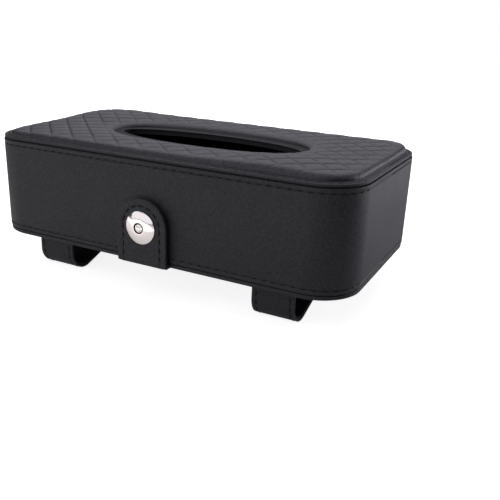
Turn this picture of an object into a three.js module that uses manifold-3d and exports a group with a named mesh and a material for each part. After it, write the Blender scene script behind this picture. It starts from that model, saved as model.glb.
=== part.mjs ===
// Tissue holder for a car, in leatherette over stiff board.
// A rounded box with a quilted top and an oval slot. Its bottom panel opens on a leather
// hinge at the back, a tongue with a magnetic snap keeps it shut at the front, and two
// straps under it close on themselves to hold the box.
// Millimetres. X runs along the box, Y points to its back and Z up.
// The origin is the middle of the bottom panel's underside.

import * as THREE from 'three';
import { mergeVertices } from 'three/addons/utils/BufferGeometryUtils.js';
import Module from 'manifold-3d';

const wasm = await Module();
wasm.setup();

// Box
const boxLength = 240;
const boxWidth = 135;
const cornerRadius = 26;
const wallTop = 59;

// Materials by thickness
const leather = 0.9;
const thinLeather = 0.8;
const liningThickness = 0.5;
const wallBoardThickness = 2;
const topBoardThickness = 1.6;
const baseBoardThickness = 1.5;
const foamThickness = 1.6;

// Clearances
const layerGap = 0.1;
const seatGap = 0.3;
const cutOverrun = 4;

// Folded edges and pressed seam lines of the wall
const foldRadius = 0.6;
const seamFromEdge = 2.8;
const seamDepth = 0.25;
const seamHalfWidth = 0.8;

// Stitched binding round the quilted pad
const bindingInset = 0.4;
const bindingWidth = 4.2;
const bindingSkirt = 2.1;

// Quilted pad
const padSideHeight = 3.9;
const padRollWidth = 5;
const quiltPitch = 8.35;
const quiltValley = 2.8;
const quiltPuff = 1;
const padDome = 0.5;
const padRimWidth = 1.6;

// Tissue slot
const slotHalfLength = 64;
const slotHalfWidth = 23.2;
const slotRollLength = 7;
const slotRollWidth = 10.5;
const slotRollDepth = 2.5;
const slotCollarAboveBoard = 0.7;
const slotFlangeWidth = 7;
const slotPadRim = 8;

// Bottom panel
const baseInset = 0.4;
const hingeStripLength = 176;
const hingeStripHeight = 13;

// Tongue
const tongueWidth = 33;
const tongueSkin = 0.7;
const tongueCoreThickness = 0.4;
const tongueCoreInset = 2.2;
const snapHeight = 22.4;

// Magnetic snap, measured outwards from the front wall
const socketRadius = 8.5;
const socketThickness = 1.8;
const socketSheet = 0.35;
const socketBore = 3.6;
const magnetThickness = 0.9;
const clipPlateRadius = 6;
const clipPlateThickness = 0.3;
const legSpacing = 7.6;
const legThickness = 0.4;
const legWidth = 3;
const legFoot = 3;
const washerRadius = 7;
const washerThickness = 0.4;
const washerPocketDepth = 1.1;
const studPlateRadius = 7;
const studPlateThickness = 0.5;
const studRadius = 2.5;
const studLength = 1.5;
const rivetRadius = 1.2;
const rivetHeadRadius = 2.8;
const rivetHeadHeight = 0.7;
const rivetDimpleRadius = 1.3;
const capRadius = 9.5;
const capHeight = 2.3;
const capSheet = 0.5;
const capRimHeight = 0.6;

// Straps
const strapFromEnd = 43.5;
const strapWidth = 26;
const strapSkin = 1.1;
const strapLining = 0.8;
const strapLiningInset = 1;
const strapSetback = 10.5;
const strapHang = 0.6;
const strapDrop = 9.4;
const strapBendRadius = 10.3;
const strapRise = THREE.MathUtils.degToRad(20);
const strapBackBendRadius = 12;
const strapTail = 20;
const strapSewnLength = 14;
const hookThickness = 0.9;
const patchThickness = 1;
const patchOverlap = 3;

// Facets
const cornerSteps = 8;
const slotSteps = 36;
const padSteps = 3;
const rollSteps = 4;
const bendSteps = 7;
const roundSteps = 32;

const quarterTurn = Math.PI / 2;
const front = -boxWidth / 2;
const back = boxWidth / 2;

// Heights that the stack of layers gives
const strapThickness = strapSkin + layerGap + strapLining;
const baseRimTop = thinLeather + layerGap + baseBoardThickness;
const wallBottom = baseRimTop + seatGap;
const topBoardBottom = wallTop + layerGap;
const topBoardTop = topBoardBottom + topBoardThickness;
const padBottom = topBoardTop + layerGap;
const bindingTop = padBottom + thinLeather;
const padInset = bindingInset + bindingWidth;
const quiltBase = padBottom + quiltValley;
const wallBoardInset = leather + layerGap;
const wallLiningInset = wallBoardInset + wallBoardThickness + layerGap;
const slotBoardGrow = thinLeather + layerGap;

// The tongue stands off the wall by the height of the closed snap
const studPlateBase = layerGap + socketThickness + layerGap;
const tongueBack = studPlateBase + studPlateThickness + layerGap;
const tongueThickness = 2 * tongueSkin + tongueCoreThickness + 2 * layerGap;
const tongueFront = tongueBack + tongueThickness;
const tongueHingeY = front - tongueBack - tongueThickness / 2;
const tongueHingeZ = tongueThickness / 2;

// Strap hinges lie in the middle of the strap's thickness
const strapHingeY = front + strapSetback;
const strapHingeZ = -strapHang - strapThickness / 2;
const strapTailZ = -2 * layerGap - patchThickness - seatGap - hookThickness - strapThickness / 2;

const finishes = {
  leatherette: { color: 0x2b2b2e, roughness: 0.55, metalness: 0 },
  quilted: { color: 0x303034, roughness: 0.5, metalness: 0 },
  board: { color: 0x6d6558, roughness: 0.9, metalness: 0 },
  foam: { color: 0x8c8c86, roughness: 0.95, metalness: 0 },
  lining: { color: 0x1c1c1e, roughness: 0.95, metalness: 0 },
  fastener: { color: 0x141416, roughness: 0.98, metalness: 0 },
  nickel: { color: 0xd8d2cd, roughness: 0.18, metalness: 1 },
  steel: { color: 0x9a9a9c, roughness: 0.4, metalness: 1 },
  magnet: { color: 0x3a3a3d, roughness: 0.6, metalness: 0.6 },
};

// Closed meshes

// Keeps only the places of a geometry's corners, with shared corners merged.
function bare(geometry) {
  const copy = geometry.clone();
  copy.deleteAttribute('normal');
  copy.deleteAttribute('uv');
  return mergeVertices(copy);
}

// Turns a closed mesh's faces outwards, whichever way its rows ran.
function facingOut(positions, triangles) {
  let volume = 0;
  const corner = (index) => new THREE.Vector3().fromArray(positions, 3 * index);
  for (let t = 0; t < triangles.length; t += 3) {
    const [a, b, c] = triangles.slice(t, t + 3).map(corner);
    volume += a.dot(b.cross(c));
  }
  if (volume < 0) {
    triangles.reverse();
  }
  const geometry = new THREE.BufferGeometry();
  geometry.setAttribute('position', new THREE.Float32BufferAttribute(positions, 3));
  geometry.setIndex(triangles);
  return geometry;
}

// Joins rows of equally many points. A band closes on itself; otherwise both ends are capped.
function loft(rows, isBand = false) {
  const count = rows[0].length;
  const positions = rows.flat().flatMap((point) => point.toArray());
  const triangles = [];
  const joins = isBand ? rows.length : rows.length - 1;
  for (let row = 0; row < joins; row += 1) {
    const next = (row + 1) % rows.length;
    for (let k = 0; k < count; k += 1) {
      const m = (k + 1) % count;
      const corners = [row * count + k, row * count + m, next * count + m, next * count + k];
      triangles.push(corners[0], corners[1], corners[2], corners[0], corners[2], corners[3]);
    }
  }
  if (!isBand) {
    capEnd(rows[0], 0, true, positions, triangles);
    capEnd(rows[rows.length - 1], (rows.length - 1) * count, false, positions, triangles);
  }
  return facingOut(positions, triangles);
}

// Fans an end of a loft out from its middle.
function capEnd(row, first, isStart, positions, triangles) {
  const middle = new THREE.Vector3();
  row.forEach((point) => middle.add(point));
  middle.divideScalar(row.length);
  const hub = positions.length / 3;
  positions.push(...middle.toArray());
  row.forEach((point, k) => {
    const here = first + k;
    const there = first + (k + 1) % row.length;
    triangles.push(...(isStart ? [hub, there, here] : [hub, here, there]));
  });
}

function solid(geometry) {
  const merged = bare(geometry);
  return new wasm.Manifold(new wasm.Mesh({
    numProp: 3,
    vertProperties: Float32Array.from(merged.attributes.position.array),
    triVerts: Uint32Array.from(merged.index.array),
  }));
}

function geometryOf(manifold) {
  const mesh = manifold.getMesh();
  const geometry = new THREE.BufferGeometry();
  geometry.setAttribute('position', new THREE.BufferAttribute(mesh.vertProperties, 3));
  geometry.setIndex(new THREE.BufferAttribute(mesh.triVerts, 1));
  return geometry;
}

// Outlines

// The box's rounded rectangle, drawn in by inset from its outside.
function boxOutline(inset) {
  const points = [];
  const radius = cornerRadius - inset;
  const sides = [[1, 1], [-1, 1], [-1, -1], [1, -1]];
  sides.forEach(([sideX, sideY], corner) => {
    for (let step = 0; step <= cornerSteps; step += 1) {
      const angle = (corner + step / cornerSteps) * quarterTurn;
      points.push(new THREE.Vector2(
        sideX * (boxLength / 2 - cornerRadius) + radius * Math.cos(angle),
        sideY * (boxWidth / 2 - cornerRadius) + radius * Math.sin(angle),
      ));
    }
  });
  return points;
}

// The slot's oval, grown by the same width all round or by one for each direction.
function slotOutline(growLength, growWidth = growLength) {
  return Array.from({ length: slotSteps }, (_, step) => {
    const angle = 4 * quarterTurn * step / slotSteps;
    return new THREE.Vector2(
      (slotHalfLength + growLength) * Math.cos(angle),
      (slotHalfWidth + growWidth) * Math.sin(angle),
    );
  });
}

function atHeight(outline, height) {
  return outline.map((point) => new THREE.Vector3(point.x, point.y, height));
}

// A band round the box whose section is a closed list of insets and heights.
function boxBand(section) {
  return loft(section.map(([inset, height]) => atHeight(boxOutline(inset), height)), true);
}

// A flat layer with an outline, holes and a thickness.
function layer(outline, bottom, thickness, holes = []) {
  const shape = new THREE.Shape(outline);
  shape.holes = holes.map((hole) => new THREE.Path(hole));
  const geometry = new THREE.ExtrudeGeometry(shape, { depth: thickness, bevelEnabled: false });
  return geometry.translate(0, 0, bottom);
}

// A shape drawn in Y and Z, drawn out along X and centred on it.
function acrossX(outline, width) {
  const geometry = new THREE.ExtrudeGeometry(
    new THREE.Shape(outline), { depth: width, bevelEnabled: false });
  geometry.translate(0, 0, -width / 2);
  const turn = new THREE.Matrix4().makeBasis(
    new THREE.Vector3(0, 1, 0), new THREE.Vector3(0, 0, 1), new THREE.Vector3(1, 0, 0));
  return geometry.applyMatrix4(turn);
}

// A block between two corners.
function block([lowX, lowY, lowZ], [highX, highY, highZ]) {
  const geometry = new THREE.BoxGeometry(highX - lowX, highY - lowY, highZ - lowZ);
  return geometry.translate((lowX + highX) / 2, (lowY + highY) / 2, (lowZ + highZ) / 2);
}

// A turned piece whose closed section is a list of radii and distances along its axis.
function turned(section) {
  const points = section.map(([radius, along]) => new THREE.Vector2(radius, along));
  const first = points[0];
  const last = points[points.length - 1];
  if (first.x > 0 || last.x > 0) {
    points.push(first.clone());
  }
  const lathe = bare(new THREE.LatheGeometry(points, roundSteps));
  return facingOut(Array.from(lathe.attributes.position.array), withoutSlivers(lathe));
}

// Drops the triangles that lie on a turned piece's axis.
function withoutSlivers(geometry) {
  const index = Array.from(geometry.index.array);
  const kept = [];
  for (let t = 0; t < index.length; t += 3) {
    const [a, b, c] = index.slice(t, t + 3);
    if (a !== b && b !== c && c !== a) {
      kept.push(a, b, c);
    }
  }
  return kept;
}

// Wall

// A seam line pressed into the wall's leather, as a shallow notch in its section.
function seamNotch(height) {
  return [[0, height - seamHalfWidth], [seamDepth, height], [0, height + seamHalfWidth]];
}

function wallCover() {
  const lip = wallBoardInset + wallBoardThickness;
  const softened = foldRadius * (1 - Math.SQRT1_2);
  const cover = boxBand([
    [foldRadius, wallBottom],
    [softened, wallBottom + softened],
    [0, wallBottom + foldRadius],
    ...seamNotch(wallBottom + seamFromEdge),
    ...seamNotch(wallTop - seamFromEdge),
    [0, wallTop - foldRadius],
    [softened, wallTop - softened],
    [foldRadius, wallTop],
    [lip, wallTop],
    [lip, wallTop - leather],
    [leather, wallTop - leather],
    [leather, wallBottom + leather],
    [lip, wallBottom + leather],
    [lip, wallBottom],
  ]);
  return geometryOf(solid(cover).subtract(legSlots()));
}

function wallBoard() {
  const bottom = wallBottom + leather + layerGap;
  const top = wallTop - leather - layerGap;
  const outer = wallBoardInset;
  const inner = wallBoardInset + wallBoardThickness;
  const board = boxBand([[outer, bottom], [outer, top], [inner, top], [inner, bottom]]);
  const pocket = turned([
    [0, -inner - cutOverrun],
    [washerRadius + seatGap, -inner - cutOverrun],
    [washerRadius + seatGap, -inner + washerPocketDepth],
    [0, -inner + washerPocketDepth],
  ]);
  onSnapAxis(pocket);
  return geometryOf(solid(board).subtract(legSlots()).subtract(solid(pocket)));
}

function wallLining() {
  const bottom = wallBottom + foldRadius;
  const top = wallTop - leather + layerGap;
  const outer = wallLiningInset;
  const inner = wallLiningInset + liningThickness;
  return boxBand([[outer, bottom], [outer, top], [inner, top], [inner, bottom]]);
}

// Two slots through the front wall for the snap's legs.
function legSlots() {
  const halfWidth = legWidth / 2 + seatGap;
  const halfGap = legThickness / 2 + seatGap;
  const slots = [-1, 1].map((side) => {
    const middle = side * legSpacing / 2;
    const through = wallLiningInset - layerGap / 2;
    return solid(block(
      [middle - halfGap, front - cutOverrun, snapHeight - halfWidth],
      [middle + halfGap, front + through, snapHeight + halfWidth],
    ));
  });
  return slots[0].add(slots[1]);
}

// Top

function topBoard() {
  const outline = boxOutline(bindingInset + thinLeather + layerGap);
  return layer(outline, topBoardBottom, topBoardThickness, [slotOutline(slotBoardGrow)]);
}

function topFoam() {
  const outline = boxOutline(padInset + padRimWidth + layerGap);
  const hole = slotOutline(slotPadRim + layerGap);
  return layer(outline, padBottom, foamThickness, [hole]);
}

function topLining() {
  const outline = boxOutline(wallLiningInset + liningThickness + seatGap);
  const bottom = wallTop - liningThickness;
  return layer(outline, bottom, liningThickness, [slotOutline(slotBoardGrow)]);
}

// A strip of leather that laps over the board's edge and frames the pad.
function topBinding() {
  const outer = bindingInset;
  const inner = padInset - layerGap;
  const softened = foldRadius * (1 - Math.SQRT1_2);
  return boxBand([
    [outer, bindingTop - bindingSkirt],
    [outer, bindingTop - foldRadius],
    [outer + softened, bindingTop - softened],
    [outer + foldRadius, bindingTop],
    [inner, bindingTop],
    [inner, padBottom],
    [outer + thinLeather, padBottom],
    [outer + thinLeather, bindingTop - bindingSkirt],
  ]);
}

// The collar that lines the slot, turned out under the top's lining.
function slotFacing() {
  const top = topBoardTop + slotCollarAboveBoard;
  const flangeTop = wallTop - liningThickness - layerGap;
  const flangeBottom = flangeTop - liningThickness;
  const section = [
    [0, flangeBottom],
    [0, top],
    [thinLeather, top],
    [thinLeather, flangeTop],
    [slotFlangeWidth, flangeTop],
    [slotFlangeWidth, flangeBottom],
  ];
  return loft(section.map(([grow, height]) => atHeight(slotOutline(grow), height)), true);
}

// How far a place is outside the slot's rolled rim: 0 at the rim and 1 at a pitch beyond it.
function beyondSlotRoll(x, y) {
  const reachX = slotHalfLength + slotRollLength;
  const reachY = slotHalfWidth + slotRollWidth;
  const ratio = Math.hypot(x / reachX, y / reachY);
  const distance = Math.hypot(x, y) * (1 - 1 / Math.max(ratio, 1));
  return Math.min(distance / quiltPitch, 1);
}

// Height of the quilted face: low on the sewn lines, puffed between them, flat at the slot.
function quiltHeight(x, y, puffShare) {
  const fade = beyondSlotRoll(x, y);
  const across = 1 - (2 * y / boxWidth) ** 2;
  const along = 1 - (2 * x / boxLength) ** 2;
  return quiltBase + padDome * across * along * fade + quiltPuff * puffShare * fade;
}

// A slab whose upper face is quilted in diamonds. Sewn lines run along the diagonals that
// join places of even count, and each diamond rises to its middle at a place of odd count.
function quiltSlab() {
  const countX = 2 * Math.ceil(boxLength / 4 / quiltPitch) + 2;
  const countY = 2 * Math.ceil(boxWidth / 4 / quiltPitch) + 2;
  const columns = 2 * countX + 1;
  const rows = 2 * countY + 1;
  const upper = [];
  for (let q = 0; q < rows; q += 1) {
    for (let p = 0; p < columns; p += 1) {
      const x = (p - countX) * quiltPitch;
      const y = (q - countY) * quiltPitch;
      upper.push(new THREE.Vector3(x, y, quiltHeight(x, y, (p + q) % 2)));
    }
  }
  const floor = upper.map(({ x, y }) => new THREE.Vector3(x, y, padBottom - cutOverrun));
  const triangles = [];
  // Adds a square of the upper face, split from corner a to c or from b to d, and its floor.
  const addSquare = (a, b, c, d, isSplitFromA) => {
    const split = isSplitFromA ? [a, b, c, a, c, d] : [a, b, d, b, c, d];
    triangles.push(...split);
    triangles.push(...split.map((corner) => corner + upper.length).reverse());
  };
  for (let q = 0; q + 1 < rows; q += 1) {
    for (let p = 0; p + 1 < columns; p += 1) {
      const here = q * columns + p;
      addSquare(here, here + 1, here + columns + 1, here + columns, (p + q) % 2 === 0);
    }
  }
  slabEdge(columns, rows).forEach((here, k, edge) => {
    const there = edge[(k + 1) % edge.length];
    const low = here + upper.length;
    triangles.push(here, low, there, there, low, there + upper.length);
  });
  return facingOut([...upper, ...floor].flatMap((point) => point.toArray()), triangles);
}

// The places round the edge of a grid, anticlockwise from its first.
function slabEdge(columns, rows) {
  const edge = [];
  for (let p = 0; p + 1 < columns; p += 1) {
    edge.push(p);
  }
  for (let q = 0; q + 1 < rows; q += 1) {
    edge.push(q * columns + columns - 1);
  }
  for (let p = columns - 1; p > 0; p -= 1) {
    edge.push((rows - 1) * columns + p);
  }
  for (let q = rows - 1; q > 0; q -= 1) {
    edge.push(q * columns);
  }
  return edge;
}

// The pad's rounded side, as outlines that draw in towards its top.
function padForm() {
  const rows = [atHeight(boxOutline(padInset), padBottom)];
  const straight = padSideHeight / 3;
  for (let step = 0; step <= padSteps; step += 1) {
    const angle = quarterTurn * step / padSteps;
    const inset = padInset + padRollWidth * (1 - Math.cos(angle));
    const height = padBottom + straight + (padSideHeight - straight) * Math.sin(angle);
    rows.push(atHeight(boxOutline(inset), height));
  }
  rows.push(atHeight(boxOutline(padInset + padRollWidth), padBottom + padSideHeight + cutOverrun));
  return loft(rows);
}

// The space over the slot, whose flared side leaves the pad's rolled rim.
function slotFunnel() {
  const rows = [atHeight(slotOutline(slotBoardGrow), padBottom - cutOverrun)];
  const rimHeight = quiltBase - slotRollDepth;
  for (let step = 0; step <= padSteps; step += 1) {
    const angle = quarterTurn * step / padSteps;
    const share = 1 - Math.cos(angle);
    const outline = slotOutline(
      slotBoardGrow + (slotRollLength - slotBoardGrow) * share,
      slotBoardGrow + (slotRollWidth - slotBoardGrow) * share,
    );
    rows.push(atHeight(outline, rimHeight + slotRollDepth * Math.sin(angle)));
  }
  rows.push(atHeight(slotOutline(slotRollLength, slotRollWidth), quiltBase + cutOverrun));
  return loft(rows);
}

function quiltedTop() {
  const recess = layer(
    boxOutline(padInset + padRimWidth),
    padBottom - cutOverrun,
    cutOverrun + foamThickness + layerGap,
    [slotOutline(slotPadRim)],
  );
  return geometryOf(solid(quiltSlab())
    .intersect(solid(padForm()))
    .subtract(solid(slotFunnel()))
    .subtract(solid(recess)));
}

// Bottom panel

// A tray of leather under the board, with the short tab that the tongue grows from.
function baseCover() {
  const softened = foldRadius * (1 - Math.SQRT1_2);
  const tray = loft([
    atHeight(boxOutline(baseInset + foldRadius), 0),
    atHeight(boxOutline(baseInset + softened), softened),
    atHeight(boxOutline(baseInset), foldRadius),
    atHeight(boxOutline(baseInset), baseRimTop),
  ]);
  const pocket = layer(
    boxOutline(baseInset + thinLeather), thinLeather, baseRimTop - thinLeather + cutOverrun);
  const tab = block(
    [-tongueWidth / 2, tongueHingeY + tongueThickness / 2 + seatGap, 0],
    [tongueWidth / 2, front + baseInset + foldRadius + thinLeather, thinLeather],
  );
  return geometryOf(solid(tray).subtract(solid(pocket)).add(solid(tab)));
}

function baseBoard() {
  return layer(boxOutline(baseInset + thinLeather + layerGap), thinLeather + layerGap,
    baseBoardThickness);
}

function baseLining() {
  const inset = wallLiningInset + liningThickness + 2 * seatGap;
  return layer(boxOutline(inset), baseRimTop + layerGap, liningThickness);
}

// The leather hinge's sewn upper half. It bends at the wall's bottom edge.
function hingeStrip() {
  const bottom = wallBottom;
  return block(
    [-hingeStripLength / 2, back + layerGap, bottom],
    [hingeStripLength / 2, back + layerGap + thinLeather, bottom + hingeStripHeight],
  );
}

// Tongue

// The tongue's outline seen from the front: straight sides under a round arch.
function archOutline(inset) {
  const radius = tongueWidth / 2 - inset;
  const points = [new THREE.Vector2(-radius, 0), new THREE.Vector2(radius, 0)];
  for (let step = 0; step <= 2 * cornerSteps; step += 1) {
    const angle = quarterTurn * step / cornerSteps;
    points.push(new THREE.Vector2(
      radius * Math.cos(angle), snapHeight + radius * Math.sin(angle)));
  }
  return points;
}

// A layer of the tongue between two distances from the wall, rounded at its foot.
function tongueLayer(near, far, inset) {
  const plate = layer(archOutline(inset), near, far - near, [holeOutline(rivetRadius + seatGap)]);
  plate.applyMatrix4(new THREE.Matrix4().makeBasis(
    new THREE.Vector3(1, 0, 0), new THREE.Vector3(0, 0, 1), new THREE.Vector3(0, -1, 0)));
  plate.translate(0, front, 0);
  const foot = acrossX(footOutline(), 2 * tongueWidth);
  return geometryOf(solid(plate).intersect(solid(foot)));
}

// A round hole about the snap's centre.
function holeOutline(radius) {
  return Array.from({ length: roundSteps }, (_, step) => {
    const angle = 4 * quarterTurn * step / roundSteps;
    return new THREE.Vector2(radius * Math.cos(angle), snapHeight + radius * Math.sin(angle));
  });
}

// The tongue's section along Y and Z, with a round foot about its hinge.
function footOutline() {
  const radius = tongueThickness / 2;
  const top = snapHeight + tongueWidth;
  const points = [
    new THREE.Vector2(tongueHingeY + radius, top), new THREE.Vector2(tongueHingeY - radius, top)];
  for (let step = 0; step <= 2 * rollSteps; step += 1) {
    const angle = 2 * quarterTurn + quarterTurn * step / rollSteps;
    points.push(new THREE.Vector2(
      tongueHingeY + radius * Math.cos(angle), tongueHingeZ + radius * Math.sin(angle)));
  }
  return points;
}

// Magnetic snap, turned about an axis that points out of the front wall

// Turns a piece drawn along its axis so that the axis leaves the front wall.
function onSnapAxis(geometry) {
  geometry.rotateX(2 * quarterTurn);
  return geometry.translate(0, front, snapHeight);
}

function socketCase() {
  const bottom = layerGap;
  const top = layerGap + socketThickness;
  return turned([
    [socketRadius - socketSheet, bottom],
    [socketRadius, bottom],
    [socketRadius, top - socketSheet],
    [socketRadius - socketSheet, top],
    [socketBore, top],
    [socketBore, top - socketSheet],
    [socketRadius - socketSheet, top - socketSheet],
  ]);
}

function socketMagnet() {
  const top = layerGap + socketThickness - socketSheet - layerGap;
  const outer = socketRadius - socketSheet - layerGap;
  const inner = socketBore + layerGap;
  const bottom = top - magnetThickness;
  return turned([[inner, bottom], [outer, bottom], [outer, top], [inner, top]]);
}

// A thin plate behind the magnet, with two legs through the wall bent out on the washer.
function socketClip() {
  const plateBottom = layerGap;
  const plate = turned([
    [0, plateBottom],
    [clipPlateRadius, plateBottom],
    [clipPlateRadius, plateBottom + clipPlateThickness],
    [0, plateBottom + clipPlateThickness],
  ]);
  let clip = solid(plate);
  const footFar = washerSeat() - washerThickness - layerGap;
  [-1, 1].forEach((side) => {
    const inside = side * (legSpacing / 2 - legThickness / 2);
    const outside = side * (legSpacing / 2 + legThickness / 2);
    const tip = inside + side * legFoot;
    const halfWidth = legWidth / 2;
    const footNear = footFar - legThickness;
    const leg = block(
      [Math.min(inside, outside), footNear, -halfWidth],
      [Math.max(inside, outside), plateBottom + clipPlateThickness / 2, halfWidth],
    );
    const foot = block(
      [Math.min(inside, tip), footNear, -halfWidth], [Math.max(inside, tip), footFar, halfWidth]);
    clip = clip.add(solid(leg)).add(solid(foot));
  });
  return geometryOf(clip);
}

// Where the washer bears on the bottom of the board's pocket, outwards from the wall.
function washerSeat() {
  return washerPocketDepth - wallBoardInset - wallBoardThickness - layerGap;
}

function socketWasher() {
  const outer = washerSeat();
  const disc = turned([
    [0, outer - washerThickness], [washerRadius, outer - washerThickness],
    [washerRadius, outer], [0, outer]]);
  let washer = solid(disc);
  [-1, 1].forEach((side) => {
    const halfGap = legThickness / 2 + seatGap;
    const halfWidth = legWidth / 2 + seatGap;
    const middle = side * legSpacing / 2;
    washer = washer.subtract(solid(block(
      [middle - halfGap, outer - cutOverrun, -halfWidth],
      [middle + halfGap, outer + cutOverrun, halfWidth],
    )));
  });
  return geometryOf(washer);
}

function snapStud() {
  const base = studPlateBase + studPlateThickness;
  const tip = studPlateBase - studLength;
  const bore = rivetRadius + layerGap;
  const boreEnd = tip + studPlateThickness;
  return turned([
    [0, tip],
    [studRadius - socketSheet, tip],
    [studRadius, tip + socketSheet],
    [studRadius, studPlateBase],
    [studPlateRadius, studPlateBase],
    [studPlateRadius, base],
    [bore, base],
    [bore, boreEnd],
    [0, boreEnd],
  ]);
}

// A thin domed cap with a rolled rim and a sunk middle that takes the rivet's head.
function snapCap() {
  const base = tongueFront + layerGap;
  const dish = rivetHeadRadius + layerGap;
  const floor = base + capHeight - rivetHeadHeight;
  const bore = rivetRadius + layerGap;
  const outside = [];
  const inside = [];
  for (let step = 0; step <= rollSteps; step += 1) {
    const angle = quarterTurn * step / rollSteps;
    const share = Math.sin(angle);
    const radius = dish + (capRadius - dish) * share;
    const height = base + capRimHeight + (capHeight - capRimHeight) * Math.cos(angle);
    outside.unshift([radius, height]);
    inside.push([radius - capSheet * share, height - capSheet]);
  }
  return turned([
    [capRadius - capSheet, base],
    [capRadius, base],
    ...outside,
    [dish, floor],
    [bore, floor],
    [bore, floor - capSheet],
    [dish - capSheet / 2, floor - capSheet],
    ...inside,
  ]);
}

function snapRivet() {
  const floor = tongueFront + capHeight - rivetHeadHeight + 2 * layerGap;
  const top = floor + rivetHeadHeight;
  const tip = studPlateBase - studLength + studPlateThickness + layerGap;
  return turned([
    [0, tip],
    [rivetRadius, tip],
    [rivetRadius, floor],
    [rivetHeadRadius - layerGap, floor],
    [rivetHeadRadius - layerGap, top - rivetHeadHeight / 3],
    [rivetHeadRadius - rivetHeadHeight, top],
    [rivetDimpleRadius, top],
    [rivetDimpleRadius / 2, top - rivetHeadHeight / 2],
    [0, top - rivetHeadHeight / 2],
  ]);
}

// Straps

// The strap's middle line in Y and Z as places and directions, from its hinge to its tail.
function strapLine() {
  const line = [];
  const pen = new THREE.Vector2(strapHingeY, strapHingeZ);
  let heading = -quarterTurn;
  const mark = () => line.push({ place: pen.clone(), heading });
  const direction = () => new THREE.Vector2(Math.cos(heading), Math.sin(heading));
  const go = (length) => {
    pen.addScaledVector(direction(), length);
    mark();
  };
  // A bend is positive to the left of the way the strap runs.
  const bend = (radius, angle) => {
    const side = Math.sign(angle);
    for (let step = 1; step <= bendSteps; step += 1) {
      const centre = pen.clone().add(
        new THREE.Vector2(-Math.sin(heading), Math.cos(heading)).multiplyScalar(side * radius));
      heading += angle / bendSteps;
      pen.copy(centre).sub(
        new THREE.Vector2(-Math.sin(heading), Math.cos(heading)).multiplyScalar(side * radius));
      mark();
    }
  };
  mark();
  go(strapDrop);
  bend(strapBendRadius, quarterTurn + strapRise);
  const lift = strapTailZ - pen.y - strapBackBendRadius * (1 - Math.cos(strapRise));
  go(lift / Math.sin(strapRise));
  bend(strapBackBendRadius, -strapRise);
  go(strapTail);
  return line;
}

// A ribbon along part of the strap's line, between two offsets to its inner side.
function strapRibbon(line, near, far, width) {
  const side = (offset) => line.map(({ place, heading }) => new THREE.Vector2(
    place.x - offset * Math.sin(heading), place.y + offset * Math.cos(heading)));
  return acrossX([...side(near), ...side(far).reverse()], width);
}

// Where the flat tail starts and ends along Y.
function tailSpan() {
  const line = strapLine();
  return [line[line.length - 2].place.x, line[line.length - 1].place.x];
}

function strapHook() {
  const [start, end] = tailSpan();
  const bottom = strapTailZ + strapThickness / 2;
  const halfWidth = strapWidth / 2 - strapLiningInset;
  return block(
    [-halfWidth, start, bottom + layerGap], [halfWidth, end, bottom + hookThickness]);
}

function strapPatch() {
  const [start, end] = tailSpan();
  const halfWidth = strapWidth / 2 - strapLiningInset;
  return block(
    [-halfWidth, start - patchOverlap, -layerGap - patchThickness],
    [halfWidth, end + patchOverlap, -layerGap]);
}

// The strap's end that is sewn flat under the panel.
function strapSewnEnd() {
  const start = strapHingeY + strapThickness / 2 + seatGap;
  return block(
    [-strapWidth / 2, start, -layerGap - strapThickness],
    [strapWidth / 2, start + strapSewnLength, -layerGap]);
}

// Assembly

const holder = new THREE.Group();

function addPiece(parent, name, geometry, finish) {
  const mesh = new THREE.Mesh(bare(geometry), new THREE.MeshStandardMaterial(finish));
  mesh.name = name;
  parent.add(mesh);
  return mesh;
}

// A group whose own axis Y leaves the front wall at the snap.
function snapGroup() {
  const group = new THREE.Group();
  group.position.set(0, front, snapHeight);
  group.rotation.x = 2 * quarterTurn;
  return group;
}

function addBody() {
  const body = new THREE.Group();
  addPiece(body, 'wall_board', wallBoard(), finishes.board);
  addPiece(body, 'wall_cover', wallCover(), finishes.leatherette);
  addPiece(body, 'wall_lining', wallLining(), finishes.lining);
  addPiece(body, 'top_board', topBoard(), finishes.board);
  addPiece(body, 'top_foam', topFoam(), finishes.foam);
  addPiece(body, 'quilted_top', quiltedTop(), finishes.quilted);
  addPiece(body, 'top_binding', topBinding(), finishes.leatherette);
  addPiece(body, 'slot_facing', slotFacing(), finishes.leatherette);
  addPiece(body, 'top_lining', topLining(), finishes.lining);
  addPiece(body, 'hinge_strip', hingeStrip(), finishes.leatherette);
  const snap = snapGroup();
  addPiece(snap, 'socket_case', socketCase(), finishes.nickel);
  addPiece(snap, 'socket_magnet', socketMagnet(), finishes.magnet);
  addPiece(snap, 'socket_clip', socketClip(), finishes.steel);
  addPiece(snap, 'socket_washer', socketWasher(), finishes.steel);
  body.add(snap);
  holder.add(body);
}

function addDoor() {
  const door = new THREE.Group();
  addPiece(door, 'base_cover', baseCover(), finishes.leatherette);
  addPiece(door, 'base_board', baseBoard(), finishes.board);
  addPiece(door, 'base_lining', baseLining(), finishes.lining);
  holder.add(door);
}

function addTongue() {
  const tongue = new THREE.Group();
  const coreBack = tongueBack + tongueSkin + layerGap;
  const coreFront = coreBack + tongueCoreThickness;
  addPiece(tongue, 'tongue_backing', tongueLayer(tongueBack, tongueBack + tongueSkin, 0),
    finishes.leatherette);
  addPiece(tongue, 'tongue_core', tongueLayer(coreBack, coreFront, tongueCoreInset),
    finishes.board);
  addPiece(tongue, 'tongue_face', tongueLayer(coreFront + layerGap, tongueFront, 0),
    finishes.leatherette);
  const snap = snapGroup();
  addPiece(snap, 'snap_stud', snapStud(), finishes.nickel);
  addPiece(snap, 'snap_cap', snapCap(), finishes.nickel);
  addPiece(snap, 'snap_rivet', snapRivet(), finishes.nickel);
  tongue.add(snap);
  holder.add(tongue);
}

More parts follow.
